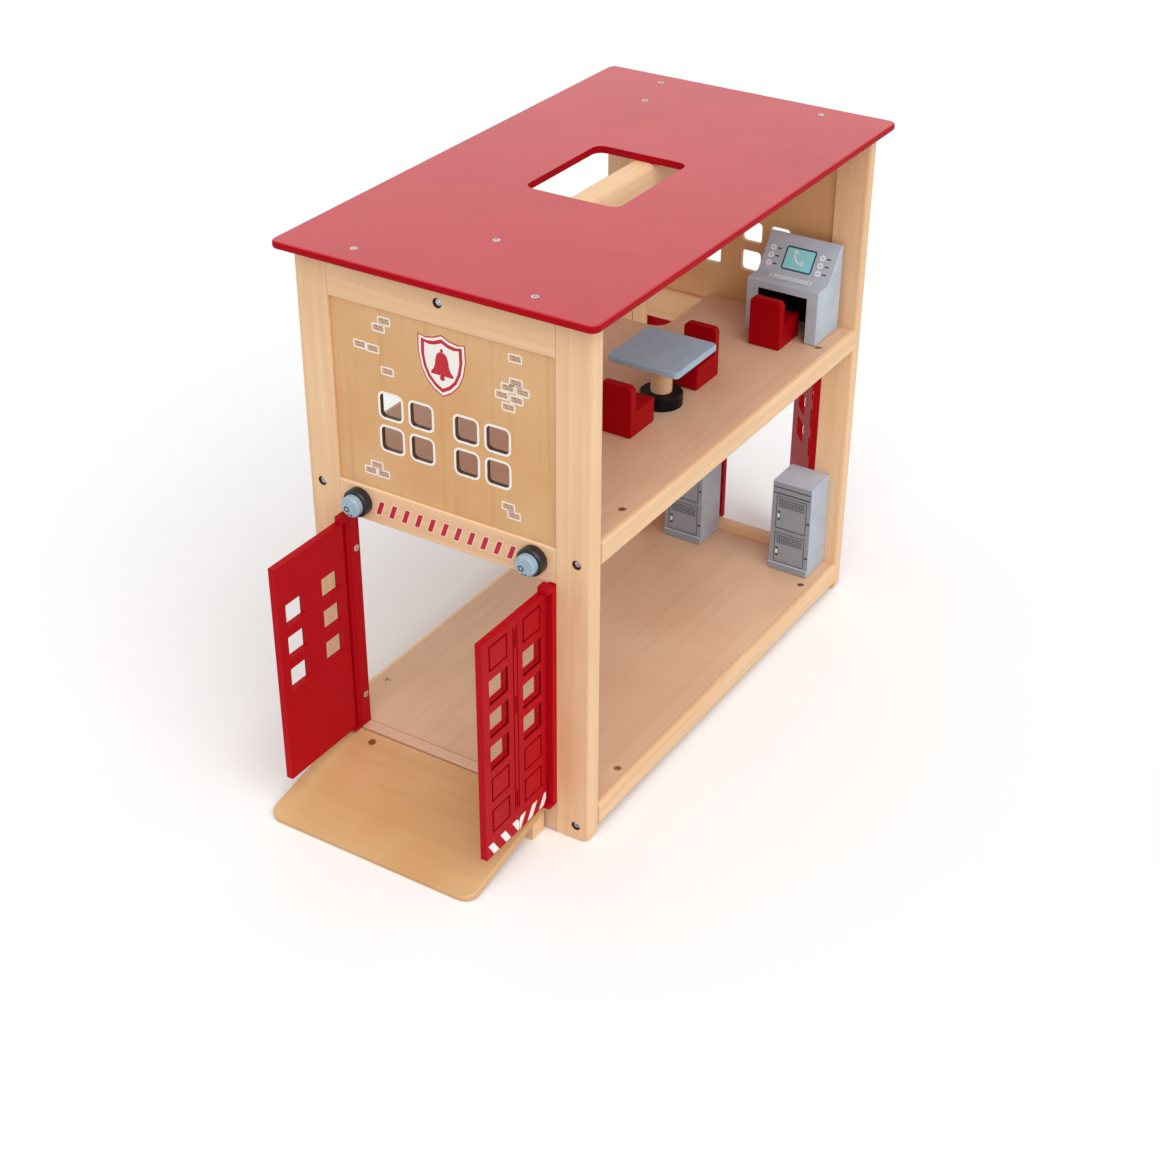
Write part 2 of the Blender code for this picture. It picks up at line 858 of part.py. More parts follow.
def build_jamb(name, rear, side, axis_x, axis_y):
    """A strip beside the doorway, with a cove along its front edge and a lug at each end for a pin."""
    outer, sign = wall_faces(rear)
    front = outer - sign * jamb_forward
    back = rear_wall_inside if rear else front + jamb_depth
    edge = side * (doorway_half - gap)
    face = edge - side * jamb_thickness
    low = ground_level + gap
    high = middle_rail_bottom - gap
    near, far = sorted((front, back))
    bm = bmesh.new()
    add_box(bm, (min(edge, face), near, low), (max(edge, face), far, high))
    round_edges(bm, jamb_round, 1, runs_along(2))
    jamb = make_piece(name + "_jamb", bm, red_finish)
    tip = axis_y - sign * lug_reach
    near, far = sorted((tip, outer - sign * gap))
    sides = (edge, face, axis_x - lug_side, axis_x + lug_side)
    lugs = (("lower_lug", low, low + lug_bottom_thickness), ("upper_lug", leaf_top + leaf_gap, high))
    for tag, z0, z1 in lugs:
        lug = bmesh.new()
        add_box(lug, (min(sides), near, z0), (max(sides), far, z1))
        round_edges(lug, lug_round, 3, lambda e: runs_along(2)(e) and abs(e.verts[0].co.y - tip) < gap)
        hollow(jamb, place(name + "_" + tag, lug, (0, 0, 0), 0, station), "UNION")
    bores = bmesh.new()
    radius = pin_diameter / 2 + hole_clearance
    centre = (axis_x, axis_y)
    add_prism(bores, circle(centre, radius, bore_sides), "Z", low + pin_floor, leaf_bottom + overrun)
    add_prism(bores, circle(centre, radius, bore_sides), "Z", leaf_top - overrun, high - pin_floor)
    cove = (face - side * (jamb_cove_radius - jamb_cove_depth), front + sign * jamb_cove_setback)
    add_prism(bores, circle(cove, jamb_cove_radius, fine_sides), "Z", leaf_bottom, leaf_top)
    for z in jamb_screw_heights:
        seat = (back - sign * jamb_screw_setback, z)
        add_screw_hole(bores, "X", seat, face, side, jamb_thickness + overrun)
    cut(jamb, bores, "bores")


def leaf_rows():
    """The bottom of each of the six rows, from the top row down."""
    return [leaf_first_row + (5 - row) * leaf_row_pitch for row in range(6)]


def leaf_columns(hand):
    """Both columns of panels, each as its lower and its upper X."""
    return [sorted((hand * column, hand * (column + leaf_panel_width)))
            for column in (leaf_inner_column, leaf_outer_column)]


def add_panes(bm, hand, inset, front, back):
    """The panes of a leaf as prisms, each smaller than its panel by the inset on every side."""
    for left, right in leaf_columns(hand):
        for row in leaf_open_rows:
            low = leaf_rows()[row - 1] + inset
            high = low - inset + leaf_panel_size - inset
            outline = rounded_rectangle((left + inset, low), (right - inset, high), leaf_pane_radius, 1)
            add_prism(bm, outline, "Y", front, back)


def add_leaf_details(bm, hand):
    """Panes, panel grooves, the seams between the columns and the slots, as one set of cutters."""
    half = leaf_thickness / 2
    outer = -half
    add_panes(bm, hand, leaf_pane_inset, outer - overrun, half + overrun)
    for left, right in leaf_columns(hand):
        for row, low in enumerate(leaf_rows()):
            if row + 1 in leaf_open_rows:
                continue
            high = low + leaf_panel_size
            inset = leaf_groove_width
            inner = rectangle((left + inset, low + inset), (right - inset, high - inset))
            add_ring(bm, rectangle((left, low), (right, high)), inner, "Y", outer - overrun,
                     outer + leaf_groove_depth)
    middle = hand * (leaf_inner_column + leaf_panel_width + leaf_outer_column) / 2
    for place_ in (-1, 1):
        centre = middle + place_ * leaf_seam_spacing / 2
        add_box(bm, (centre - leaf_seam_width / 2, outer - overrun, leaf_first_row),
                (centre + leaf_seam_width / 2, outer + leaf_groove_depth,
                 leaf_first_row + 5 * leaf_row_pitch + leaf_panel_size))
    for row in (0, 2, 5):
        low = leaf_rows()[row] + (leaf_panel_size - leaf_slot_length) / 2
        add_box(bm, (middle - leaf_slot_width / 2, outer - overrun, low),
                (middle + leaf_slot_width / 2, outer + leaf_slot_depth, low + leaf_slot_length))


def leaf_solid(hand, reach):
    """A leaf about its own hinge axis, which runs to `hand` along X with its outside at -Y."""
    half = leaf_thickness / 2
    end = hand * reach
    outline = [(end, -half), (end, half)]
    for i in range(2 * corner_steps + 1):
        angle = math.pi / 2 - math.pi * i / (2 * corner_steps)
        outline.append((-hand * half * math.cos(angle), half * math.sin(angle)))
    bm = bmesh.new()
    add_prism(bm, outline, "Z", 0, leaf_height)

    def free_edge(edge):
        at_end = all(abs(v.co.x - end) < gap for v in edge.verts)
        level = abs(edge.verts[0].co.z - edge.verts[1].co.z) < gap
        straight = edge.calc_length() > half
        return (at_end or level) and straight
    round_edges(bm, leaf_edge_round, 1, free_edge)
    return bm


def build_leaf(name, rear, side, axis_x, axis_y):
    hand = -side if not rear else side
    closed = half_turn if rear else 0.0
    reach = rear_leaf_reach if rear else leaf_reach
    outward = {"front_left": -quarter_turn, "front_right": quarter_turn,
               "rear_left": 0.0, "rear_right": -rear_right_opening}[name]
    pivot = bpy.data.objects.new(name + "_hinge_axis", None)
    bpy.context.scene.collection.objects.link(pivot)
    pivot.parent = station
    pivot.location = (axis_x, axis_y, leaf_bottom)
    pivot.rotation_euler = (0, 0, closed + outward)
    leaf = place(name + "_door", leaf_solid(hand, reach), (0, 0, 0), 0, pivot)
    leaf.data.materials.append(red_finish)
    leaf.data.shade_smooth()
    leaf.data.set_sharp_from_angle(angle=math.radians(35))
    details = bmesh.new()
    add_leaf_details(details, hand)
    hollow(leaf, place(name + "_door_joinery", details, (0, 0, 0), 0, pivot), "DIFFERENCE")
    rabbets = bmesh.new()
    outer = -leaf_thickness / 2
    add_panes(rabbets, hand, -leaf_rabbet_overlap, outer - overrun, outer + leaf_rabbet_depth)
    hollow(leaf, place(name + "_door_rabbets", rabbets, (0, 0, 0), 0, pivot), "DIFFERENCE")
    bores = bmesh.new()
    radius = pin_diameter / 2 + hole_clearance
    depth = pin_bite + hole_clearance
    add_prism(bores, circle((0, 0), radius, bore_sides), "Z", -overrun, depth)
    add_prism(bores, circle((0, 0), radius, bore_sides), "Z", leaf_height - depth, leaf_height + overrun)
    hollow(leaf, place(name + "_door_bores", bores, (0, 0, 0), 0, pivot), "DIFFERENCE")


def build_pins(name, x, y):
    """The two short pins of a leaf: each is fast in the leaf and turns in its lug."""
    radius = pin_diameter / 2
    low = ground_level + 2 * gap + pin_floor
    high = middle_rail_bottom - 2 * gap - pin_floor
    for tag, z0, z1 in (("lower", low, leaf_bottom + pin_bite), ("upper", leaf_top - pin_bite, high)):
        bm = bmesh.new()
        add_prism(bm, circle((x, y), radius, bore_sides), "Z", z0, z1)
        make_piece(name + "_" + tag + "_hinge_pin", bm, steel, smooth=True)


# Ramp

def ramp_slope():
    """The angle at which the board lies with its lowest edge on the ground and its top at the floor."""
    run = -ramp_front_y - ramp_back_gap
    rise = ground_level - ramp_thickness
    return math.atan2(rise, run)


def put_on_ramp(name, bm, corner, slope):
    """A shape given in the ramp's own frame, whose origin is the middle of its upper rear edge."""
    piece = place(name, bm, (0, 0, 0), slope, station)
    piece.location = corner
    return piece


def build_ramp():
    slope = ramp_slope()
    back = -ramp_back_gap - ramp_thickness * math.sin(slope)
    length = (back - ramp_front_y) / math.cos(slope)
    corner = (ramp_middle, back, length * math.sin(slope) + ramp_thickness * math.cos(slope))
    half = ramp_width / 2
    outline = rounded_rectangle((-half, -length), (half, length), ramp_corner_radius)
    plan = [(half, 0.0), (-half, 0.0)] + [p for p in outline if p[1] < 0]
    bm = bmesh.new()
    add_prism(bm, plan, "Z", -ramp_thickness, 0)
    round_edges(bm, ramp_edge_round, 1, lambda e: all(abs(v.co.z) < gap for v in e.verts))
    board = put_on_ramp("ramp_board", bm, corner, slope)
    board.data.materials.append(ply_wood)
    board.data.shade_smooth()
    board.data.set_sharp_from_angle(angle=math.radians(35))
    bores = bmesh.new()
    seat = (ramp_screw_y - back) / math.cos(slope)
    for side, name in ((-1, "left"), (1, "right")):
        centre = (side * (half - ramp_screw_inset), seat)
        add_screw_hole(bores, "Z", centre, 0, -1, screw_length + hole_clearance)
        bm = bmesh.new()
        add_turned(bm, screw_profile(0, -1), "Z", centre, bore_sides)
        screw = put_on_ramp("ramp_screw_" + name, bm, corner, slope)
        screw.data.materials.append(steel)
        screw.data.shade_smooth()
        screw.data.set_sharp_from_angle(angle=math.radians(35))
        slots = bmesh.new()
        slot_cross(slots, "Z", centre, 0, -1)
        hollow(screw, put_on_ramp("ramp_slots_" + name, slots, corner, slope), "DIFFERENCE")
    bores = put_on_ramp("ramp_screw_bores", bores, corner, slope)
    hollow(board, bores, "DIFFERENCE")
    build_ramp_block(slope, back, corner[2], bores)


def build_ramp_block(slope, back, board_z, bores):
    """The bearer under the top of the ramp, its top planed to the ramp's slope."""
    def underside(y):
        return board_z + (y - back) * math.tan(slope) - (ramp_thickness + gap) / math.cos(slope)
    near = -ramp_back_gap - ramp_block_inset - ramp_block_depth
    far = -ramp_back_gap - ramp_block_inset
    outline = [(near, 0), (far, 0), (far, underside(far)), (near, underside(near))]
    half = ramp_width / 2 - ramp_block_inset
    bm = bmesh.new()
    add_prism(bm, outline, "X", ramp_middle - half, ramp_middle + half)
    block_ = make_piece("ramp_bearer", bm, beech_wood)
    hollow(block_, bores, "DIFFERENCE")


# Lamps

def build_lamps():
    for side, name in ((-1, "left"), (1, "right")):
        centre = (side * lamp_x, lamp_height)
        front = -gap
        back = front - lamp_base_thickness
        radius = lamp_base_diameter / 2
        bm = bmesh.new()
        profile = [(0, front), (radius, front), (radius, back + lamp_round),
                   (radius - lamp_round, back), (0, back)]
        add_turned(bm, profile, "Y", centre, wide_sides)
        make_piece("lamp_base_" + name, bm, black_finish, smooth=True)
        cap_back = back - gap
        cap_front = cap_back - lamp_cap_thickness
        radius = lamp_cap_diameter / 2
        bm = bmesh.new()
        profile = [(0, cap_back), (radius, cap_back), (radius, cap_front + lamp_round),
                   (radius - lamp_round, cap_front), (0, cap_front)]
        add_turned(bm, profile, "Y", centre, wide_sides)
        make_piece("lamp_cap_" + name, bm, blue_finish, smooth=True)


# Furniture

def build_table():
    floor = mezzanine_level + gap
    top = mezzanine_level + table_height
    half = table_size / 2
    under = top - table_top_thickness
    tenon = table_tenon_diameter / 2
    bm = bmesh.new()
    outline = rounded_rectangle((table_x - half, table_y - half), (table_x + half, table_y + half),
                                table_corner_radius, 3)
    add_prism(bm, outline, "Z", under, top)
    round_edges(bm, table_edge_round, 1, lambda e: abs(e.verts[0].co.z - e.verts[1].co.z) < gap)
    board = make_piece("table_top", bm, grey_finish, smooth=True)
    centre = (table_x, table_y)
    base_top = floor + table_base_thickness
    bm = bmesh.new()
    radius = table_base_diameter / 2
    profile = [(0, floor), (radius, floor), (radius, base_top - table_edge_round),
               (radius - table_edge_round, base_top), (0, base_top)]
    add_turned(bm, profile, "Z", centre, wide_sides)
    base = make_piece("table_base", bm, black_finish, smooth=True)
    radius = table_leg_diameter / 2
    low = base_top + gap
    high = under - gap
    bm = bmesh.new()
    bottom_end = low - table_tenon_length
    top_end = high + table_tenon_length
    profile = [(0, bottom_end), (tenon, bottom_end), (tenon, low), (radius, low), (radius, high),
               (tenon, high), (tenon, top_end), (0, top_end)]
    add_turned(bm, profile, "Z", centre)
    make_piece("table_leg", bm, beech_wood, smooth=True)
    wide = tenon + hole_clearance
    depth = table_tenon_length + hole_clearance
    bore = bmesh.new()
    add_prism(bore, circle(centre, wide, bore_sides), "Z", base_top - depth, base_top + overrun)
    cut(base, bore)
    bore = bmesh.new()
    add_prism(bore, circle(centre, wide, bore_sides), "Z", under - overrun, under + depth)
    cut(board, bore)


def build_chair(name, x, front, back_at_front):
    """One block of wood, cut away above the seat. The back stands at the front or the far edge."""
    low = mezzanine_level + gap
    seat = mezzanine_level + chair_seat_height
    top = mezzanine_level + chair_back_height
    left = x - chair_width / 2
    right = x + chair_width / 2
    near = front
    far = front + chair_depth
    radius = chair_back_corner_radius
    arcs = []
    for centre_x, start in ((right - radius, 0), (left + radius, 1)):
        for i in range(corner_steps + 1):
            angle = (start + i / corner_steps) * math.pi / 2
            arcs.append((centre_x + radius * math.cos(angle), top - radius + radius * math.sin(angle)))
    bm = bmesh.new()
    add_prism(bm, [(left, low), (right, low)] + arcs, "Y", near, far)
    round_edges(bm, chair_edge_round, 2)
    chair = make_piece(name, bm, red_finish, smooth=True)
    room = bmesh.new()
    if back_at_front:
        open_near, open_far = near + chair_back_thickness, far + overrun
    else:
        open_near, open_far = near - overrun, far - chair_back_thickness
    add_box(room, (left - overrun, open_near, seat), (right + overrun, open_far, top + overrun))
    cut(chair, room, "seat")


def build_desk():
    """The console: two sides, a shelf, a sloping face and a back, glued into one piece."""
    left = desk_right - desk_width
    low = mezzanine_level + gap
    shelf = mezzanine_level + desk_shelf_height
    top = mezzanine_level + desk_total_height
    slope_foot = desk_front + desk_shelf_depth
    outline = [(desk_front, low), (desk_back, low), (desk_back, top), (desk_back - desk_top_depth, top),
               (slope_foot, shelf), (desk_front, shelf)]
    bm = bmesh.new()
    add_prism(bm, outline, "X", left, desk_right)
    round_edges(bm, desk_edge_round, 1, lambda e: e.is_convex)
    desk = make_piece("console_desk", bm, grey_finish)
    room = bmesh.new()
    add_box(room, (left + desk_side_thickness, desk_front - overrun, low - overrun),
            (desk_right - desk_side_thickness, desk_back - desk_back_thickness, shelf - desk_shelf_thickness))
    cut(desk, room, "knee_room")


def build_locker(name, x):
    low = ground_level + gap
    high = ground_level + locker_height
    half = locker_width / 2
    back = locker_front + locker_depth
    plinth = low + locker_plinth_height
    step = locker_plinth_step
    bm = bmesh.new()
    outline = [(locker_front, low), (back, low), (back, high), (locker_front + step, high),
               (locker_front + step, plinth), (locker_front, plinth)]
    add_prism(bm, outline, "X", x - half, x + half)
    round_edges(bm, locker_edge_round, 1, lambda e: e.is_convex and e.calc_length() > 4 * step)
    locker = make_piece(name, bm, grey_finish)
    grooves = bmesh.new()
    margin = locker_door_margin
    face = locker_front + step
    inner = locker_groove_width
    bottom = plinth + margin / 2
    top = high - locker_top_band
    split = bottom + (top - bottom) * locker_door_split_share
    for z0, z1 in ((bottom, split - margin / 4), (split + margin / 4, top)):
        wide = half - margin
        outer_line = rectangle((x - wide, z0), (x + wide, z1))
        inner_line = rectangle((x - wide + inner, z0 + inner), (x + wide - inner, z1 - inner))
        add_ring(grooves, outer_line, inner_line, "Y", face - overrun, face + locker_groove_depth)
    cut(locker, grooves, "door_lines")


clear_scene()
station = bpy.data.objects.new("station_front", None)
bpy.context.scene.collection.objects.link(station)
station.location = (0, front_y, 0)

beech_wood = finish("beech", beech, 0.5)
ply_wood = finish("birch_plywood", plywood, 0.5)
floor_finish = finish("floor_plywood", floor_wood, 0.5)
red_finish = finish("red_paint", red_paint, 0.3)
grey_finish = finish("grey_paint", grey_paint, 0.4)
black_finish = finish("black_paint", black_paint, 0.35)
blue_finish = finish("pale_blue_paint", blue_paint, 0.35)
steel = finish("zinc_plated_steel", steel_metal, 0.3, 1.0)

for at_rear in (False, True):
    for at_side in (-1, 1):
        build_stile(at_side, at_rear)
    build_rails(at_rear)
    build_window_panel(at_rear)
build_front_sill()
build_rear_sill()
build_roof()
build_roof_screws()
build_roof_beam()
for beam_side, beam_name in ((-1, "left"), (1, "right")):
    build_side_beam("base_beam_" + beam_name, beam_side, ground_level)
    build_side_beam("mezzanine_beam_" + beam_name, beam_side, mezzanine_level)
build_mezzanine_floor()
build_ground_floor()
build_pole()
for leaf_name, at_rear, at_side, leaf_x, leaf_y in hinge_axes():
    build_jamb(leaf_name, at_rear, at_side, leaf_x, leaf_y)
    build_leaf(leaf_name, at_rear, at_side, leaf_x, leaf_y)
    build_pins(leaf_name, leaf_x, leaf_y)
build_ramp()
build_lamps()
build_table()
build_chair("dining_chair_near", near_chair_x, near_chair_front, True)
build_chair("dining_chair_far", table_x, far_chair_front, False)
build_chair("desk_chair", desk_chair_x, desk_chair_front, True)
build_desk()
build_locker("locker_left", left_locker_x)
build_locker("locker_right", right_locker_x)
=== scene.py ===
import math
import bmesh
import bpy
from mathutils import Matrix, Vector


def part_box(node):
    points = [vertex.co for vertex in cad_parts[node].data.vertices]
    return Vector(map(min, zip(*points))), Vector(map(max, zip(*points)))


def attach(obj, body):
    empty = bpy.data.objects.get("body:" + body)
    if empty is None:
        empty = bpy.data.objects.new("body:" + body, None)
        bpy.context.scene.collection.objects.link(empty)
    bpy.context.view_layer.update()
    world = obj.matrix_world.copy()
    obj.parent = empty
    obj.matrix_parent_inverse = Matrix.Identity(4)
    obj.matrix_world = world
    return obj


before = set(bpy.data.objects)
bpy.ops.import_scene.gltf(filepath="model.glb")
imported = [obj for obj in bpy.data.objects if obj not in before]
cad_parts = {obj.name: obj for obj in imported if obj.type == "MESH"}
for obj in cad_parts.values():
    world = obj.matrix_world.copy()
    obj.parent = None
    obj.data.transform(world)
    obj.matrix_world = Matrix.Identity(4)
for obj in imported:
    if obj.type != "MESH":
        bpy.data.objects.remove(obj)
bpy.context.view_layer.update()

# ---- Frames of the two end walls ----
# Beech stiles and rails, joined by stub tenons. The wood is planed, eased at its edges and sprayed
# with a clear satin lacquer. All sizes in this file are in metres.

BEECH_PALE = "#F3CCA1"
BEECH_MAIN = "#EBC092"
BEECH_DARK = "#DAAA7A"
BEECH_FLECK = "#D09E6C"
BEECH_BAND = 0.007
BEECH_FIBRE = 0.0011
BEECH_ALONG = 0.035
BEECH_DRIFT = 0.11
BEECH_ROUGHNESS = (0.40, 0.50)
FIBRE_HEIGHT = 0.0002
FIBRE_BUMP = 0.08
PLANK_WAY = (1.0, 0.7, 1.9)
FRAME_PLANK_STEP = 0.31


def linear(code):
    """An sRGB hex value as a linear colour with full alpha."""
    parts = [int(code[i:i + 2], 16) / 255 for i in (1, 3, 5)]
    return [p / 12.92 if p <= 0.04045 else ((p + 0.055) / 1.055) ** 2.4 for p in parts] + [1.0]


def add(tree, kind, sockets=(), **settings):
    """One node with its settings. Each socket gets a number, a colour or another node's output."""
    node = tree.nodes.new(kind)
    for name, value in settings.items():
        setattr(node, name, value)
    for key, value in dict(sockets).items():
        if isinstance(value, bpy.types.NodeSocket):
            tree.links.new(value, node.inputs[key])
        else:
            node.inputs[key].default_value = value
    return node


def new_material(name):
    """An empty finish and its node tree."""
    material = bpy.data.materials.new(name)
    material.use_nodes = True
    return material, material.node_tree


def surface(material):
    """The inputs of a finish's surface shader."""
    return material.node_tree.nodes["Principled BSDF"].inputs


def lacquered_beech(name, grain, plank):
    """Planed beech under clear satin lacquer, its grain along one axis.

    The growth bands are soft and 7 mm wide. The short dark rays of real beech are 0.3 mm wide: they
    are drawn 1.1 mm wide here, so that they show. The lacquer gives an even, low gloss. Each piece
    is cut from another place in the plank, so that no two have the same bands.
    """
    material, tree = new_material(name)
    squeeze = [1.0, 1.0, 1.0]
    squeeze["XYZ".index(grain)] = BEECH_ALONG
    place = add(tree, "ShaderNodeTexCoord").outputs["Object"]
    board = add(tree, "ShaderNodeMapping", {"Vector": place, "Scale": squeeze,
                                            "Location": [plank * way for way in PLANK_WAY]}).outputs["Vector"]
    bands = add(tree, "ShaderNodeTexNoise", {"Vector": board, "Scale": 1 / BEECH_BAND, "Detail": 3.0,
                                             "Distortion": 0.4}).outputs["Fac"]
    fibres = add(tree, "ShaderNodeTexNoise", {"Vector": board, "Scale": 1 / BEECH_FIBRE,
                                              "Detail": 2.0}).outputs["Fac"]
    drift = add(tree, "ShaderNodeTexNoise", {"Vector": place, "Scale": 1 / BEECH_DRIFT}).outputs["Fac"]
    band_share = add(tree, "ShaderNodeMapRange", {"Value": bands, "From Min": 0.36,
                                                  "From Max": 0.64}).outputs["Result"]
    drift_share = add(tree, "ShaderNodeMapRange", {"Value": drift, "From Min": 0.45, "From Max": 0.75,
                                                   "To Max": 0.22}).outputs["Result"]
    fleck_share = add(tree, "ShaderNodeMapRange", {"Value": fibres, "From Min": 0.55, "From Max": 0.78,
                                                   "To Max": 0.2}).outputs["Result"]
    tone = add(tree, "ShaderNodeMix", {0: band_share, 6: linear(BEECH_PALE), 7: linear(BEECH_MAIN)},
               data_type="RGBA").outputs[2]
    tone = add(tree, "ShaderNodeMix", {0: drift_share, 6: tone, 7: linear(BEECH_DARK)},
               data_type="RGBA").outputs[2]
    tone = add(tree, "ShaderNodeMix", {0: fleck_share, 6: tone, 7: linear(BEECH_FLECK)},
               data_type="RGBA").outputs[2]
    tree.links.new(tone, surface(material)["Base Color"])
    rough = add(tree, "ShaderNodeMapRange", {"Value": fibres, "From Min": 0.3, "From Max": 0.7,
                                             "To Min": BEECH_ROUGHNESS[0], "To Max": BEECH_ROUGHNESS[1]})
    tree.links.new(rough.outputs["Result"], surface(material)["Roughness"])
    bump = add(tree, "ShaderNodeBump", {"Height": fibres, "Strength": FIBRE_BUMP, "Distance": FIBRE_HEIGHT})
    tree.links.new(bump.outputs["Normal"], surface(material)["Normal"])
    return material


def dress(material, *nodes):
    """Gives the CAD nodes a finish."""
    for node in nodes:
        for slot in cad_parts[node].material_slots:
            slot.material = material


for number, (node, grain) in enumerate((
        ("front_left_stile", "Z"), ("front_right_stile", "Z"), ("rear_left_stile", "Z"),
        ("rear_right_stile", "Z"), ("front_top_rail", "X"), ("front_middle_rail", "X"),
        ("rear_top_rail", "X"), ("rear_middle_rail", "X"))):
    dress(lacquered_beech("beech_" + node, grain, FRAME_PLANK_STEP * (number + 1)), node)

# ---- Window panels ----
# Thin plywood boards held in grooves between the stiles and rails of each end wall, with eight
# small windows cut through. Their face veneer is a warm tan with an upright grain. The cut edges of
# the front one are scorched brown.

VENEER_MAIN = "#DBA76F"
VENEER_PALE = "#E1B37E"
VENEER_DARK = "#C08A54"
VENEER_STREAK_SHARE = 0.25
VENEER_PORE_SHARE = 0.7
# The same brown is also painted shade in the bolt counterbores.
BURNT_EDGE_AND_BORE_SHADE = "#4A2E1C"
VENEER_BAND = 0.006
VENEER_FIBRE = 0.0012
VENEER_ALONG = 0.03
VENEER_DRIFT = 0.083
VENEER_ROUGHNESS = (0.40, 0.51)
CUT_FACE_RANGE = (0.8, 0.5)


def tan_veneer(name, grain, main, pale, dark, band, streak, roughness):
    """Rotary-cut face veneer under clear lacquer: wavy bands with thin dark lines along the grain.

    The pores of the real veneer are about 0.1 mm wide and drawn 1.2 mm wide, so that they show.
    """
    material, tree = new_material(name)
    squeeze = [1.0, 1.0, 1.0]
    squeeze["XYZ".index(grain)] = VENEER_ALONG
    place = add(tree, "ShaderNodeTexCoord").outputs["Object"]
    sheet = add(tree, "ShaderNodeMapping", {"Vector": place, "Scale": squeeze}).outputs["Vector"]
    bands = add(tree, "ShaderNodeTexNoise", {"Vector": sheet, "Scale": 1 / band, "Detail": 4.0,
                                             "Distortion": 0.8}).outputs["Fac"]
    fibres = add(tree, "ShaderNodeTexNoise", {"Vector": sheet, "Scale": 1 / VENEER_FIBRE,
                                              "Detail": 2.0}).outputs["Fac"]
    drift = add(tree, "ShaderNodeTexNoise", {"Vector": place, "Scale": 1 / VENEER_DRIFT}).outputs["Fac"]
    drift_share = add(tree, "ShaderNodeMapRange", {"Value": drift, "From Min": 0.35,
                                                   "From Max": 0.65}).outputs["Result"]
    band_share = add(tree, "ShaderNodeMapRange", {"Value": bands, "From Min": 0.5, "From Max": 0.7,
                                                  "To Max": streak}).outputs["Result"]
    pore_share = add(tree, "ShaderNodeMapRange", {"Value": fibres, "From Min": 0.56, "From Max": 0.76,
                                                  "To Max": VENEER_PORE_SHARE * streak}).outputs["Result"]
    tone = add(tree, "ShaderNodeMix", {0: drift_share, 6: linear(pale), 7: linear(main)},
               data_type="RGBA").outputs[2]
    tone = add(tree, "ShaderNodeMix", {0: band_share, 6: tone, 7: linear(dark)},
               data_type="RGBA").outputs[2]
    tone = add(tree, "ShaderNodeMix", {0: pore_share, 6: tone, 7: linear(dark)},
               data_type="RGBA").outputs[2]
    tree.links.new(tone, surface(material)["Base Color"])
    rough = add(tree, "ShaderNodeMapRange", {"Value": fibres, "From Min": 0.3, "From Max": 0.7,
                                             "To Min": roughness[0], "To Max": roughness[1]})
    tree.links.new(rough.outputs["Result"], surface(material)["Roughness"])
    bump = add(tree, "ShaderNodeBump", {"Height": fibres, "Strength": FIBRE_BUMP, "Distance": FIBRE_HEIGHT})
    tree.links.new(bump.outputs["Normal"], surface(material)["Normal"])
    return material


def facing_share(tree, axis, start, end):
    """How far a face looks along an axis, as a share that goes from 0 at the start to 1 at the end."""
    normal = add(tree, "ShaderNodeNewGeometry").outputs["Normal"]
    along = add(tree, "ShaderNodeVectorMath", {0: normal, 1: axis}, operation="DOT_PRODUCT")
    return add(tree, "ShaderNodeMapRange", {"Value": along.outputs["Value"], "From Min": start,
                                            "From Max": end}).outputs["Result"]


def blend_in(material, share, colour):
    """Lays another colour over a material's own, as far as the share says."""
    tree = material.node_tree
    base = surface(material)["Base Color"]
    own = base.links[0].from_socket
    mixed = add(tree, "ShaderNodeMix", {0: share, 6: own, 7: colour}, data_type="RGBA")
    tree.links.new(mixed.outputs[2], base)


panel_veneer = tan_veneer("window_panel_veneer", "Z", VENEER_MAIN, VENEER_PALE, VENEER_DARK,
                          VENEER_BAND, VENEER_STREAK_SHARE, VENEER_ROUGHNESS)
tree = panel_veneer.node_tree
front_share = facing_share(tree, (0, -1, 0), *CUT_FACE_RANGE)
back_share = facing_share(tree, (0, 1, 0), *CUT_FACE_RANGE)
cut_share = add(tree, "ShaderNodeMath", {0: front_share, 1: back_share}, operation="MULTIPLY")
blend_in(panel_veneer, cut_share.outputs[0], linear(BURNT_EDGE_AND_BORE_SHADE))
dress(panel_veneer, "front_window_panel")
dress(tan_veneer("rear_panel_veneer", "Z", VENEER_MAIN, VENEER_PALE, VENEER_DARK, VENEER_BAND,
                 VENEER_STREAK_SHARE, VENEER_ROUGHNESS), "rear_window_panel")

# ---- Prints on the front panel ----
# Screen printed in opaque ink: a white line round each window, and bricks in small loose groups. The
# ink stands a little proud of the veneer and bites a little into it.

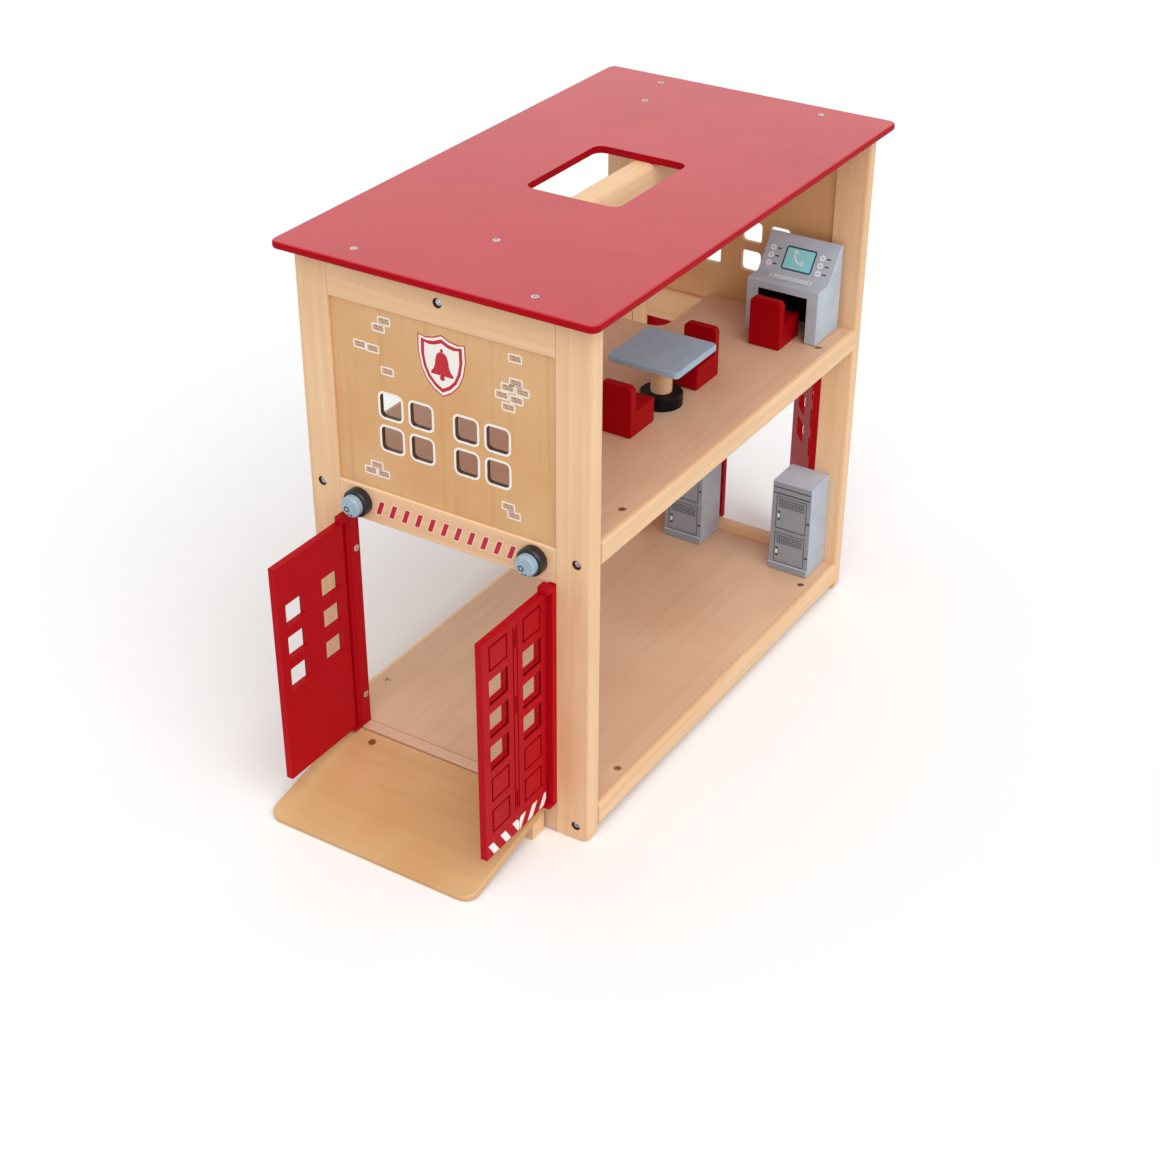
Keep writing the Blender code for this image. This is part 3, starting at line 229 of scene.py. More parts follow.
INK_WHITE = "#FBF6EF"
INK_BRICK = "#CFAA8C"
INK_BRICK_DASH = "#9B7B66"
INK_RED = "#C4182C"
INK_THICKNESS = 0.00006
INK_BITE = 0.00004
INK_PATCH = 0.0014
INK_THIN_TONE = 0.8
INK_MOTTLE = 0.24
INK_ROUGHNESS = (0.48, 0.60)
WINDOW_SIZE = 0.0195
WINDOW_RADIUS = 0.0035
WINDOW_LINE = 0.0019
WINDOW_COLUMNS = (-0.04785, -0.02015, 0.02015, 0.04785)
WINDOW_PITCH = 0.0277
WINDOW_TOP_ROW = 0.33879
BRICK_WIDTH = 0.0118
BRICK_HEIGHT = 0.0068
BRICK_LINE = 0.0010
BRICK_OUTER_RADIUS = 0.0011
BRICK_INNER_RADIUS = 0.0004
BRICK_MIDDLES = ((-0.0505, 0.4080), (-0.0557, 0.4015), (-0.0737, 0.3841), (-0.0619, 0.3835),
                 (-0.0494, 0.3679), (0.0641, 0.4079), (0.0645, 0.3891), (0.0575, 0.3835),
                 (0.0701, 0.3829), (0.0523, 0.3766), (0.0648, 0.3755), (0.0577, 0.3681),
                 (-0.0639, 0.2853), (-0.0700, 0.2790), (-0.0579, 0.2791), (0.0562, 0.2859),
                 (0.0612, 0.2797))
FILL_THICKNESS = 0.5 * INK_THICKNESS
BRICK_DASH_THICKNESS = 0.8 * INK_THICKNESS
BRICK_DASH_HEIGHT = 0.0008
BRICK_DASH_RADIUS = 0.0003
BRICK_DASHES = ((-0.0018, 0.0010, 0.0032), (0.0022, 0.0010, 0.0022), (-0.0006, -0.0009, 0.0030),
                (0.0030, -0.0009, 0.0018))
SMOOTH_BELOW = math.radians(35)


def cloudy_finish(name, main, deep, cloud, roughness, detail=2.0, start=0.35, end=0.7, share=1.0):
    """A finish in one colour with soft clouds of a deeper one, and with a gloss that follows them."""
    material, tree = new_material(name)
    place = add(tree, "ShaderNodeTexCoord").outputs["Object"]
    clouds = add(tree, "ShaderNodeTexNoise", {"Vector": place, "Scale": 1 / cloud,
                                              "Detail": detail}).outputs["Fac"]
    deep_share = add(tree, "ShaderNodeMapRange", {"Value": clouds, "From Min": start, "From Max": end,
                                                  "To Max": share}).outputs["Result"]
    colour = add(tree, "ShaderNodeMix", {0: deep_share, 6: main, 7: deep}, data_type="RGBA")
    tree.links.new(colour.outputs[2], surface(material)["Base Color"])
    rough = add(tree, "ShaderNodeMapRange", {"Value": clouds, "From Min": 0.3, "From Max": 0.7,
                                             "To Min": roughness[0], "To Max": roughness[1]})
    tree.links.new(rough.outputs["Result"], surface(material)["Roughness"])
    return material


def screen_ink(name, code, mottle=INK_MOTTLE):
    """Opaque screen-printing ink: flat and matt, a little uneven where the squeegee left it thin.

    The thin spots of the real ink are about 0.3 mm wide and drawn 1.4 mm wide, so that they show.
    Thin dark films of painted shade, such as those in the door grooves and the bolt bores, look the same.
    """
    full = linear(code)
    thin = [part * INK_THIN_TONE for part in full[:3]] + [1.0]
    return cloudy_finish(name, full, thin, INK_PATCH, INK_ROUGHNESS, start=0.45, end=0.8, share=mottle)


def on_face(origin, across, up):
    """A frame on a surface: u runs across it, v up it and w out of it."""
    across = Vector(across).normalized()
    up = Vector(up).normalized()
    turn = Matrix((across, up, across.cross(up))).transposed().to_4x4()
    return Matrix.Translation(origin) @ turn


def front_of(y):
    """The frame of an upright face at y that looks to the front."""
    return on_face((0.0, y, 0.0), (1, 0, 0), (0, 0, 1))


def round_corners(u, v, width, height, radius, steps=4):
    """The outline of a rectangle with round corners, given by its middle."""
    points = []
    for quarter, (a, b) in enumerate(((1, 1), (-1, 1), (-1, -1), (1, -1))):
        centre = (u + a * (width / 2 - radius), v + b * (height / 2 - radius))
        for i in range(steps + 1):
            angle = (quarter + i / steps) * math.pi / 2
            points.append((centre[0] + radius * math.cos(angle), centre[1] + radius * math.sin(angle)))
    return points


def round_outline(u, v, radius, count):
    """The outline of a disc, given by its middle."""
    angles = [2 * math.pi * i / count for i in range(count)]
    return [(u + radius * math.cos(angle), v + radius * math.sin(angle)) for angle in angles]


def add_plate(bm, at, outline, low=-INK_BITE, high=INK_THICKNESS):
    """A solid plate of the given outline, from low to high along w, or else as thick as print."""
    rings = [[bm.verts.new(at @ Vector((u, v, w))) for u, v in outline] for w in (low, high)]
    bm.faces.new(list(reversed(rings[0])))
    bm.faces.new(rings[1])
    add_skin(bm, rings)


def add_skin(bm, rings):
    """The faces between rings that have the same number of points."""
    for here, there in zip(rings, rings[1:]):
        for i in range(len(here)):
            j = (i + 1) % len(here)
            bm.faces.new((here[i], here[j], there[j], there[i]))


def add_band(bm, at, outer, inner, low=-INK_BITE, high=INK_THICKNESS):
    """A solid band between two outlines that have the same number of points."""
    rings = [[bm.verts.new(at @ Vector((u, v, w))) for u, v in outline]
             for outline, w in ((outer, low), (outer, high), (inner, high), (inner, low))]
    add_skin(bm, rings + rings[:1])


def make(name, bm, material, body, smooth=False):
    """A finished piece that rides on a body."""
    bmesh.ops.recalc_face_normals(bm, faces=bm.faces)
    mesh = bpy.data.meshes.new(name)
    bm.to_mesh(mesh)
    bm.free()
    mesh.materials.append(material)
    piece = bpy.data.objects.new(name, mesh)
    bpy.context.scene.collection.objects.link(piece)
    if smooth:
        mesh.shade_smooth()
        mesh.set_sharp_from_angle(angle=SMOOTH_BELOW)
    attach(piece, body)


white_ink = screen_ink("white_screen_ink", INK_WHITE)
red_ink = screen_ink("red_screen_ink", INK_RED)
brick_ink = screen_ink("brick_screen_ink", INK_BRICK)
dash_ink = screen_ink("brick_dash_screen_ink", INK_BRICK_DASH)
panel_face = front_of(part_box("front_window_panel")[0].y)

bm = bmesh.new()
for x in WINDOW_COLUMNS:
    for z in (WINDOW_TOP_ROW, WINDOW_TOP_ROW - WINDOW_PITCH):
        wide = WINDOW_SIZE + 2 * WINDOW_LINE
        add_band(bm, panel_face, round_corners(x, z, wide, wide, WINDOW_RADIUS + WINDOW_LINE),
                 round_corners(x, z, WINDOW_SIZE, WINDOW_SIZE, WINDOW_RADIUS))
make("window_lines", bm, white_ink, "station")

lines, fills, dashes = bmesh.new(), bmesh.new(), bmesh.new()
for x, z in BRICK_MIDDLES:
    outer = round_corners(x, z, BRICK_WIDTH, BRICK_HEIGHT, BRICK_OUTER_RADIUS, steps=2)
    inner = round_corners(x, z, BRICK_WIDTH - 2 * BRICK_LINE, BRICK_HEIGHT - 2 * BRICK_LINE,
                          BRICK_INNER_RADIUS, steps=2)
    add_band(lines, panel_face, outer, inner)
    add_plate(fills, panel_face, inner, high=FILL_THICKNESS)
    for u, v, long in BRICK_DASHES:
        outline = round_corners(x + u, z + v, long, BRICK_DASH_HEIGHT, BRICK_DASH_RADIUS, steps=1)
        add_plate(dashes, panel_face, outline, high=BRICK_DASH_THICKNESS)
make("brick_lines", lines, white_ink, "station")
make("brick_fills", fills, brick_ink, "station")
make("brick_dashes", dashes, dash_ink, "station")

# ---- Emblem ----
# A plain shield with a hand bell on it, screen printed over the windows. The red edge is printed
# first, then the white ground, then the bell and its line in red.

EMBLEM_MIDDLE = (0.0006, 0.3857)
SHIELD = ((0.0, 0.0245), (0.0075, 0.0212), (0.0150, 0.0200), (0.0208, 0.0212), (0.0212, 0.0080),
          (0.0190, -0.0040), (0.0145, -0.0135), (0.0078, -0.0205), (0.0, -0.0250))
SHIELD_GROUND_SHARE = 0.955
SHIELD_LINE_SHARES = (0.86, 0.73)
SHIELD_GROUND_TOP = 1.6 * INK_THICKNESS
BELL_TOP = 2.2 * INK_THICKNESS
BELL = ((0.0, 0.0108), (0.0026, 0.0102), (0.0046, 0.0080), (0.0056, 0.0046), (0.0062, 0.0002),
        (0.0074, -0.0034), (0.0098, -0.0062), (0.0098, -0.0080), (0.0, -0.0080))
BELL_CLAPPER = (-0.0098, 0.0022)
BELL_KNOB = (0.0120, 0.0014)


def both_sides(half, scale=1.0):
    """A whole outline from its right half, which runs down from the top on the middle line."""
    x0, z0 = EMBLEM_MIDDLE
    right = [(x0 + scale * u, z0 + scale * v) for u, v in half]
    left = [(x0 - scale * u, z0 + scale * v) for u, v in reversed(half) if u > 0]
    return right + left


bm = bmesh.new()
add_plate(bm, panel_face, both_sides(SHIELD))
make("emblem_edge", bm, red_ink, "station")
bm = bmesh.new()
add_plate(bm, panel_face, both_sides(SHIELD, SHIELD_GROUND_SHARE), 0.0, SHIELD_GROUND_TOP)
make("emblem_ground", bm, white_ink, "station")
bm = bmesh.new()
outer, inner = (both_sides(SHIELD, share) for share in SHIELD_LINE_SHARES)
add_band(bm, panel_face, outer, inner, 0.0, BELL_TOP)
add_plate(bm, panel_face, both_sides(BELL), 0.0, BELL_TOP)
for rise, radius in (BELL_CLAPPER, BELL_KNOB):
    disc = round_outline(EMBLEM_MIDDLE[0], EMBLEM_MIDDLE[1] + rise, radius, count=16)
    add_plate(bm, panel_face, disc, 0.0, BELL_TOP)
make("emblem_bell", bm, red_ink, "station")

# ---- Band on the middle rail ----
# A row of slanted bars over the doorway, screen printed in red. Each has a thin pale edge, which is
# printed first.

BAND_PINK = "#F7DAD2"
BAR_COUNT = 11
BAR_FIRST = -0.0610
BAR_PITCH = 0.0121
BAR_WIDTH = 0.0042
BAR_LEAN = 0.0042
BAR_HALF_HEIGHT = 0.0058
BAR_EDGE = 0.0009
BAR_MIDDLE_HEIGHT = 0.2492
BAR_TOP = 1.8 * INK_THICKNESS
rail_face = front_of(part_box("front_middle_rail")[0].y)
edges, bars = bmesh.new(), bmesh.new()
for i in range(BAR_COUNT):
    middle = BAR_FIRST + i * BAR_PITCH
    for target, grow, thick in ((edges, BAR_EDGE, INK_THICKNESS), (bars, 0.0, BAR_TOP)):
        half = BAR_WIDTH / 2 + grow
        high = BAR_HALF_HEIGHT + grow
        lean = BAR_LEAN * high / BAR_HALF_HEIGHT / 2
        foot, top = BAR_MIDDLE_HEIGHT - high, BAR_MIDDLE_HEIGHT + high
        outline = [(middle - half - lean, foot), (middle + half - lean, foot),
                   (middle + half + lean, top), (middle - half + lean, top)]
        add_plate(target, rail_face, outline, high=thick)
make("band_edges", edges, screen_ink("pale_pink_screen_ink", BAND_PINK), "station")
make("band_bars", bars, red_ink, "station")

# ---- Connector bolts ----
# Steel bolts with a socket head, sunk in counterbores in the stiles and the top rails. A dark sleeve
# in each counterbore is painted shade. They draw the long beams up to the end walls.

BOLT_STEEL = "#E8E8EE"
BOLT_STEEL_DULL = "#BDBDC6"
BOLT_HEAD_RADIUS = 0.0029
BOLT_HEAD_DEPTH = 0.0020
BOLT_HEAD_BEVEL = 0.0004
BOLT_RECESS = 0.0017
BOLT_SHANK_RADIUS = 0.0019
BOLT_LENGTH = 0.030
BOLT_SOCKET = 0.0018
BOLT_SOCKET_DEPTH = 0.0016
BOLT_SOCKET_SIDES = 6
BOLT_BORE_RADIUS = 0.00405
BOLT_BORE_DEPTH = 0.0038
BOLT_BORE_SETBACK = 0.0003
BOLT_BORE_SHADE = 0.00015
BOLT_X = 0.1170
BOLT_HEIGHTS = (0.0137, 0.2567)
ROOF_BOLT_HEIGHT = 0.4356
BOLT_ROUGHNESS = (0.27, 0.40)
PLATING_CLOUD = 0.0017
HEAD_STEPS = 24


def zinc_steel(name, bright, dull, roughness):
    """Plated steel: bright, with the faint cloudy tone of the plating and a soft gloss.

    The clouds of the real plating are finer and drawn 1.7 mm wide, so that they show.
    """
    material = cloudy_finish(name, linear(bright), linear(dull), PLATING_CLOUD, roughness, detail=3.0)
    surface(material)["Metallic"].default_value = 1.0
    return material


def socket_outline(centre, radius, sides, per_side):
    """A many-sided outline with extra points along each side."""
    corners = round_outline(*centre, radius, sides)
    points = []
    for (u0, v0), (u1, v1) in zip(corners, corners[1:] + corners[:1]):
        for k in range(per_side):
            points.append((u0 + (u1 - u0) * k / per_side, v0 + (v1 - v0) * k / per_side))
    return points


def add_lathe(bm, at, levels):
    """A closed solid through outlines that lie one behind the other along w."""
    rings = [[bm.verts.new(at @ Vector((u, v, w))) for u, v in outline] for outline, w in levels]
    add_skin(bm, rings)
    bm.faces.new(rings[0])
    bm.faces.new(rings[-1])


def add_bolt(bm, at, centre):
    """A socket head bolt, the top of its head at w = 0."""
    hole = socket_outline(centre, BOLT_SOCKET, BOLT_SOCKET_SIDES, HEAD_STEPS // BOLT_SOCKET_SIDES)
    shank = round_outline(*centre, BOLT_SHANK_RADIUS, HEAD_STEPS)
    rim = round_outline(*centre, BOLT_HEAD_RADIUS, HEAD_STEPS)
    crown = round_outline(*centre, BOLT_HEAD_RADIUS - BOLT_HEAD_BEVEL, HEAD_STEPS)
    add_lathe(bm, at, [(shank, -BOLT_LENGTH), (shank, -BOLT_HEAD_DEPTH), (rim, -BOLT_HEAD_DEPTH),
                       (rim, -BOLT_HEAD_BEVEL), (crown, 0.0), (hole, 0.0), (hole, -BOLT_SOCKET_DEPTH)])


bolt_steel = zinc_steel("zinc_plated_bolt_steel", BOLT_STEEL, BOLT_STEEL_DULL, BOLT_ROUGHNESS)
# A dark sleeve in each counterbore is painted shade, between the bolt head and the bore wall.
bore_shade_paint = screen_ink("painted_bore_shade", BURNT_EDGE_AND_BORE_SHADE)
wall_low, wall_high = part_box("front_top_rail")[0].y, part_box("rear_top_rail")[1].y
for wall, y, out in (("front", wall_low, 1), ("rear", wall_high, -1)):
    sunk = on_face((0.0, y + out * BOLT_RECESS, 0.0), (out, 0, 0), (0, 0, 1))
    places = [("lower_left", -BOLT_X, BOLT_HEIGHTS[0]), ("lower_right", BOLT_X, BOLT_HEIGHTS[0]),
              ("upper_left", -BOLT_X, BOLT_HEIGHTS[1]), ("upper_right", BOLT_X, BOLT_HEIGHTS[1]),
              ("roof", 0.0, ROOF_BOLT_HEIGHT)]
    bores = bmesh.new()
    for name, x, z in places:
        outer, inner = (round_outline(out * x, z, BOLT_BORE_RADIUS + grow, HEAD_STEPS)
                        for grow in (INK_BITE, -BOLT_BORE_SHADE))
        add_band(bores, sunk, outer, inner, BOLT_RECESS - BOLT_BORE_DEPTH, BOLT_RECESS - BOLT_BORE_SETBACK)
        bm = bmesh.new()
        add_bolt(bm, sunk, (out * x, z))
        make(wall + "_" + name + "_bolt", bm, bolt_steel, "station", True)
    make(wall + "_painted_bore_shade", bores, bore_shade_paint, "station", True)

# ---- Long beams ----
# Beech rails along both sides under each floor, rebated for the board, and the beam in the middle
# of the roof. Their ends butt on the end walls.

BEAM_PLANK = 4.1
BEAM_PLANK_STEP = 0.37
for number, node in enumerate(("base_beam_left", "base_beam_right", "mezzanine_beam_left",
                               "mezzanine_beam_right", "roof_beam")):
    dress(lacquered_beech("beech_" + node, "Y", BEAM_PLANK + BEAM_PLANK_STEP * number), node)

# ---- Floors ----
# Two plywood boards let into the beams, darker than the frames, their grain from front to rear.
# Countersunk brass-plated screws hold them near the corners. A strip of the same tone lies across
# the front doorway, level with the lower one, and a beech rail across the rear doorway.

FLOOR_MAIN = "#D9B08F"
FLOOR_PALE = "#E0BA9A"
FLOOR_DARK = "#C59A76"
FLOOR_BAND = 0.009
FLOOR_STREAK_SHARE = 0.24
FLOOR_ROUGHNESS = (0.45, 0.56)
REAR_SILL_PLANK = 6.1
BRASS_PLATE = "#D8B48E"
BRASS_PLATE_DULL = "#9A7450"
BRASS_ROUGHNESS = (0.35, 0.48)
FLOOR_SCREW_X = 0.1165
FLOOR_SCREW_FRONT = 0.0647
FLOOR_SCREW_REAR = 0.3937
FLOOR_SCREW_BY_WELL = 0.3355
SCREW_RADIUS = 0.0030
SCREW_DEPTH = 0.0022
SCREW_EDGE = 0.0005
SCREW_BEVEL = 0.00015
SCREW_SHANK = 0.0013
SCREW_LENGTH = 0.013
CROSS_ARM = 0.0017
CROSS_HALF_WIDTH = 0.0004
CROSS_DEPTH = 0.0012
dress(tan_veneer("floor_veneer", "Y", FLOOR_MAIN, FLOOR_PALE, FLOOR_DARK, FLOOR_BAND,
                 FLOOR_STREAK_SHARE, FLOOR_ROUGHNESS), "mezzanine_floor", "ground_floor")
dress(tan_veneer("sill_veneer", "X", FLOOR_PALE, FLOOR_PALE, FLOOR_DARK, FLOOR_BAND,
                 FLOOR_STREAK_SHARE, FLOOR_ROUGHNESS), "front_sill")
dress(lacquered_beech("beech_rear_sill", "X", REAR_SILL_PLANK), "rear_sill")


def cross_outline(centre):
    """The outline of a cross recess, six points for each arm."""
    fillet = 0.8 * CROSS_HALF_WIDTH + 0.2 * CROSS_ARM
    arm = ((CROSS_ARM, -CROSS_HALF_WIDTH), (CROSS_ARM, 0.0), (CROSS_ARM, CROSS_HALF_WIDTH),
           (fillet, CROSS_HALF_WIDTH), (CROSS_HALF_WIDTH, CROSS_HALF_WIDTH), (CROSS_HALF_WIDTH, fillet))
    points = []
    for i in range(4):
        turn = Matrix.Rotation(i * math.pi / 2, 2)
        points += [Vector(centre) + turn @ Vector(point) for point in arm]
    return points


def add_wood_screw(bm, at, centre=(0.0, 0.0)):
    """A countersunk screw with a cross recess, its head flush at w = 0."""
    shank = round_outline(*centre, SCREW_SHANK, HEAD_STEPS)
    rim = round_outline(*centre, SCREW_RADIUS, HEAD_STEPS)
    face = round_outline(*centre, SCREW_RADIUS - SCREW_BEVEL, HEAD_STEPS)
    cross = cross_outline(centre)
    add_lathe(bm, at, [(shank, -SCREW_LENGTH), (shank, -SCREW_DEPTH), (rim, -SCREW_EDGE),
                       (rim, -SCREW_BEVEL), (face, 0.0), (cross, 0.0), (cross, -CROSS_DEPTH)])


brass_steel = zinc_steel("brass_plated_screw_steel", BRASS_PLATE, BRASS_PLATE_DULL, BRASS_ROUGHNESS)
for level, node in (("lower", "ground_floor"), ("upper", "mezzanine_floor")):
    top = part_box(node)[1].z
    for side, x in (("left", -FLOOR_SCREW_X), ("right", FLOOR_SCREW_X)):
        by_well = level == "upper" and side == "left"
        rear_y = FLOOR_SCREW_BY_WELL if by_well else FLOOR_SCREW_REAR
        for end, y in (("front", FLOOR_SCREW_FRONT), ("rear", rear_y)):
            bm = bmesh.new()
            add_wood_screw(bm, on_face((x, wall_low + y, top), (1, 0, 0), (0, 1, 0)))
            make("_".join((level, end, side, "floor_screw")), bm, brass_steel, "station",
                 True)

# ---- Fire pole ----
# A turned beech dowel from the ground floor up to the roof, through the corner well. A screw in the
# roof holds its top.

POLE_PLANK = 7.3
dress(lacquered_beech("beech_fire_pole", "Z", POLE_PLANK), "fire_pole")

# ---- Roof ----
# One board with a rounded hatch, sprayed in red lacquer on all sides, then flatted and sprayed again
# on top, which is brighter and glossier. Six countersunk screws fix it to the end walls, the beam and
# the pole.

ROOF_TOP = "#CA1024"
ROOF_TOP_DEEP = "#B80C1E"
ROOF_EDGE = "#AE0A1A"
ROOF_EDGE_DEEP = "#A20816"
ROOF_ROUGHNESS = (0.31, 0.38)
ROOF_IOR = 1.12
ROOF_CLOUD_SHARE = 0.25
ROOF_TOP_RANGE = (0.6, 0.95)
ROOF_COAT_SHARE = 0.9
ROOF_COAT_ROUGHNESS = 0.22
ROOF_COAT_IOR = 1.5
LACQUER_CLOUD = 0.071
LACQUER_PEEL = 0.0024
PEEL_HEIGHT = 0.0002
PEEL_BUMP = 0.05
SCREW_STEEL = "#E8E4E0"
SCREW_STEEL_DULL = "#BFB8B4"
SCREW_ROUGHNESS = (0.29, 0.42)


def red_lacquer(name, main, deep, roughness, index, share=0.5):
    """Sprayed pigmented lacquer: an even red with faint clouds, and a satin gloss.

    The orange peel of the real spray is about 1 mm wide and drawn 2.4 mm wide, so that it shows. The
    index starts from the 1.5 of lacquer and is matched down to the low gloss of the real red.
    """
    material = cloudy_finish(name, linear(main), linear(deep), LACQUER_CLOUD, roughness, share=share)
    tree = material.node_tree
    place = add(tree, "ShaderNodeTexCoord").outputs["Object"]
    peel = add(tree, "ShaderNodeTexNoise", {"Vector": place, "Scale": 1 / LACQUER_PEEL,
                                            "Detail": 1.0}).outputs["Fac"]
    bump = add(tree, "ShaderNodeBump", {"Height": peel, "Strength": PEEL_BUMP, "Distance": PEEL_HEIGHT})
    tree.links.new(bump.outputs["Normal"], surface(material)["Normal"])
    surface(material)["IOR"].default_value = index
    return material


roof_red = red_lacquer("red_roof_lacquer", ROOF_EDGE, ROOF_EDGE_DEEP, ROOF_ROUGHNESS, ROOF_IOR,
                       ROOF_CLOUD_SHARE)
tree = roof_red.node_tree
top_share = facing_share(tree, (0, 0, 1), *ROOF_TOP_RANGE)
place = add(tree, "ShaderNodeTexCoord").outputs["Object"]
cloud = add(tree, "ShaderNodeTexNoise", {"Vector": place, "Scale": 1 / LACQUER_CLOUD}).outputs["Fac"]
top_colour = add(tree, "ShaderNodeMix", {0: cloud, 6: linear(ROOF_TOP), 7: linear(ROOF_TOP_DEEP)},
                 data_type="RGBA").outputs[2]
blend_in(roof_red, top_share, top_colour)
coat = add(tree, "ShaderNodeMath", {0: top_share, 1: ROOF_COAT_SHARE}, operation="MULTIPLY")
tree.links.new(coat.outputs[0], surface(roof_red)["Coat Weight"])
surface(roof_red)["Coat Roughness"].default_value = ROOF_COAT_ROUGHNESS
surface(roof_red)["Coat IOR"].default_value = ROOF_COAT_IOR
screw_steel = zinc_steel("zinc_plated_screw_steel", SCREW_STEEL, SCREW_STEEL_DULL, SCREW_ROUGHNESS)
dress(roof_red, "roof_panel")
dress(screw_steel, "roof_screw_front_left", "roof_screw_front_right", "roof_screw_rear_left",
      "roof_screw_rear_right", "roof_screw_beam", "roof_screw_pole")

# ---- Jambs and doors ----
# Red strips screwed inside both doorways, and four red leaves that turn on short steel pins in the
# lugs of the strips. The outside of each leaf has panels with grooves, whose floors hold painted shade
# in a darker red, and white warning stripes.

DOOR_RED = "#B80A1A"
DOOR_RED_DEEP = "#A80716"
DOOR_ROUGHNESS = (0.33, 0.40)
DOOR_IOR = 1.15
DOOR_GROOVE_SHADE = "#3C0409"
GROOVE_SHADE_IOR = 1.1
PANEL_COLUMNS = (0.006, 0.050)
PANEL_SIZE = (0.024, 0.0218)
PANEL_FIRST_ROW = 0.0215
PANEL_ROW_PITCH = 0.0296
PANEL_ROWS = 6
PANE_ROWS = (2, 3, 4)
GROOVE_WIDTH = 0.0018
GROOVE_DEPTH = 0.0018
RABBET_OVERLAP = 0.0003
RABBET_WIDTH = 0.0011
RABBET_DEPTH = 0.0012
GROOVE_SHADE_THICKNESS = 0.0003
JAMB_SCREW_HEIGHTS = (0.058, 0.200)
JAMB_SCREW_SETBACK = 0.0045
LEAF_HALF_THICKNESS = 0.003
STRIPE_FOOT = 0.0010
STRIPE_TOP = 0.0125
STRIPE_WIDTH = 0.0068
STRIPE_LEAN = 0.0074
STRIPES_FROM_HINGE = (0.0037, 0.0200, 0.0363)
STRIPES_FROM_FREE_END = (0.0166, 0.0329, 0.0492)
STRIPE_HINGE_LIMIT = 0.0003
STRIPE_MIDDLE = 0.0379
STRIPE_MIDDLE_GAP = 0.0003
FRONT_REACH = 0.0826
REAR_REACH = 0.0918
# Each leaf's turn at rest in degrees, the way that it runs from its hinge, and its length.
LEAVES = {"front_left": (-90.0, 1, FRONT_REACH), "front_right": (90.0, -1, FRONT_REACH),
          "rear_left": (180.0, -1, REAR_REACH), "rear_right": (130.0, 1, REAR_REACH)}
door_red = red_lacquer("red_door_lacquer", DOOR_RED, DOOR_RED_DEEP, DOOR_ROUGHNESS, DOOR_IOR)
# The dark red on the floors of the grooves and rabbets is painted shade.
groove_shade_ink = screen_ink("dark_red_painted_groove_shade", DOOR_GROOVE_SHADE)
surface(groove_shade_ink)["IOR"].default_value = GROOVE_SHADE_IOR


def stripe_outline(start, lean, low, high):
    """A slanted stripe, cut off upright at two distances from the hinge."""
    corners = [(start, STRIPE_FOOT), (start + STRIPE_WIDTH, STRIPE_FOOT),
               (start + STRIPE_WIDTH + lean, STRIPE_TOP), (start + lean, STRIPE_TOP)]
    for limit, sign in ((low, 1), (high, -1)):
        kept = []
        for (u0, v0), (u1, v1) in zip(corners, corners[1:] + corners[:1]):
            if sign * (u0 - limit) >= 0:
                kept.append((u0, v0))
            if (u0 - limit) * (u1 - limit) < 0:
                kept.append((limit, v0 + (v1 - v0) * (limit - u0) / (u1 - u0)))
        corners = kept
    return corners


def groove_outline(u, v, grow):
    """A panel's outline about its middle, larger by a margin on every side."""
    half_wide, half_high = PANEL_SIZE[0] / 2 + grow, PANEL_SIZE[1] / 2 + grow
    return [(u - half_wide, v - half_high), (u + half_wide, v - half_high),
            (u + half_wide, v + half_high), (u - half_wide, v + half_high)]


for leaf, (angle, hand, reach) in LEAVES.items():
    dress(door_red, leaf + "_jamb", leaf + "_door")
    dress(screw_steel, leaf + "_lower_hinge_pin", leaf + "_upper_hinge_pin")

    jamb_low, jamb_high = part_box(leaf + "_jamb")
    left = "left" in leaf
    face = jamb_high.x if left else jamb_low.x
    inside = 1 if left else -1
    rear = leaf.startswith("rear")
    screw_y = jamb_low.y + JAMB_SCREW_SETBACK if rear else jamb_high.y - JAMB_SCREW_SETBACK
    for z, tag in zip(JAMB_SCREW_HEIGHTS, ("lower", "upper")):
        bm = bmesh.new()
        add_wood_screw(bm, on_face((face, screw_y, z), (0, inside, 0), (0, 0, 1)))
        make(leaf + "_" + tag + "_jamb_screw", bm, screw_steel, "station", True)

    pin_low, pin_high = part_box(leaf + "_lower_hinge_pin")
    axis = (pin_low + pin_high) / 2
    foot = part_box(leaf + "_door")[0].z
    turn = Matrix.Translation((axis.x, axis.y, foot)) @ Matrix.Rotation(math.radians(angle), 4, "Z")
    outside = turn @ on_face((0.0, -LEAF_HALF_THICKNESS, 0.0), (1, 0, 0), (0, 0, 1))
    outlines = [stripe_outline(start, -STRIPE_LEAN, STRIPE_HINGE_LIMIT, STRIPE_MIDDLE - STRIPE_MIDDLE_GAP)
                for start in STRIPES_FROM_HINGE]
    outlines += [stripe_outline(reach - start, STRIPE_LEAN, STRIPE_MIDDLE + STRIPE_MIDDLE_GAP, reach)
                 for start in STRIPES_FROM_FREE_END]
    bm = bmesh.new()
    for outline in outlines:
        add_plate(bm, outside, [(hand * u, v) for u, v in outline])
    make(leaf + "_door_stripes", bm, white_ink, leaf + "_leaf")

    # Bands of painted shade on the floors of the grooves and of the rabbets round the panes.
    bm = bmesh.new()
    for column in PANEL_COLUMNS:
        for row in range(PANEL_ROWS):
            u = hand * (column + PANEL_SIZE[0] / 2)
            v = PANEL_FIRST_ROW + row * PANEL_ROW_PITCH + PANEL_SIZE[1] / 2
            if row in PANE_ROWS:
                grow, width, depth = RABBET_OVERLAP, RABBET_WIDTH, RABBET_DEPTH
            else:
                grow, width, depth = 0.0, GROOVE_WIDTH, GROOVE_DEPTH
            outer, inner = (groove_outline(u, v, edge) for edge in (grow, grow - width))
            add_band(bm, outside, outer, inner, -depth - INK_BITE, GROOVE_SHADE_THICKNESS - depth)
    make(leaf + "_door_groove_shade", bm, groove_shade_ink, leaf + "_leaf")

# ---- Ramp ----
# A loose plywood board that leans on the front sill. It lies on a beech bearer, which two countersunk
# screws fix under it.

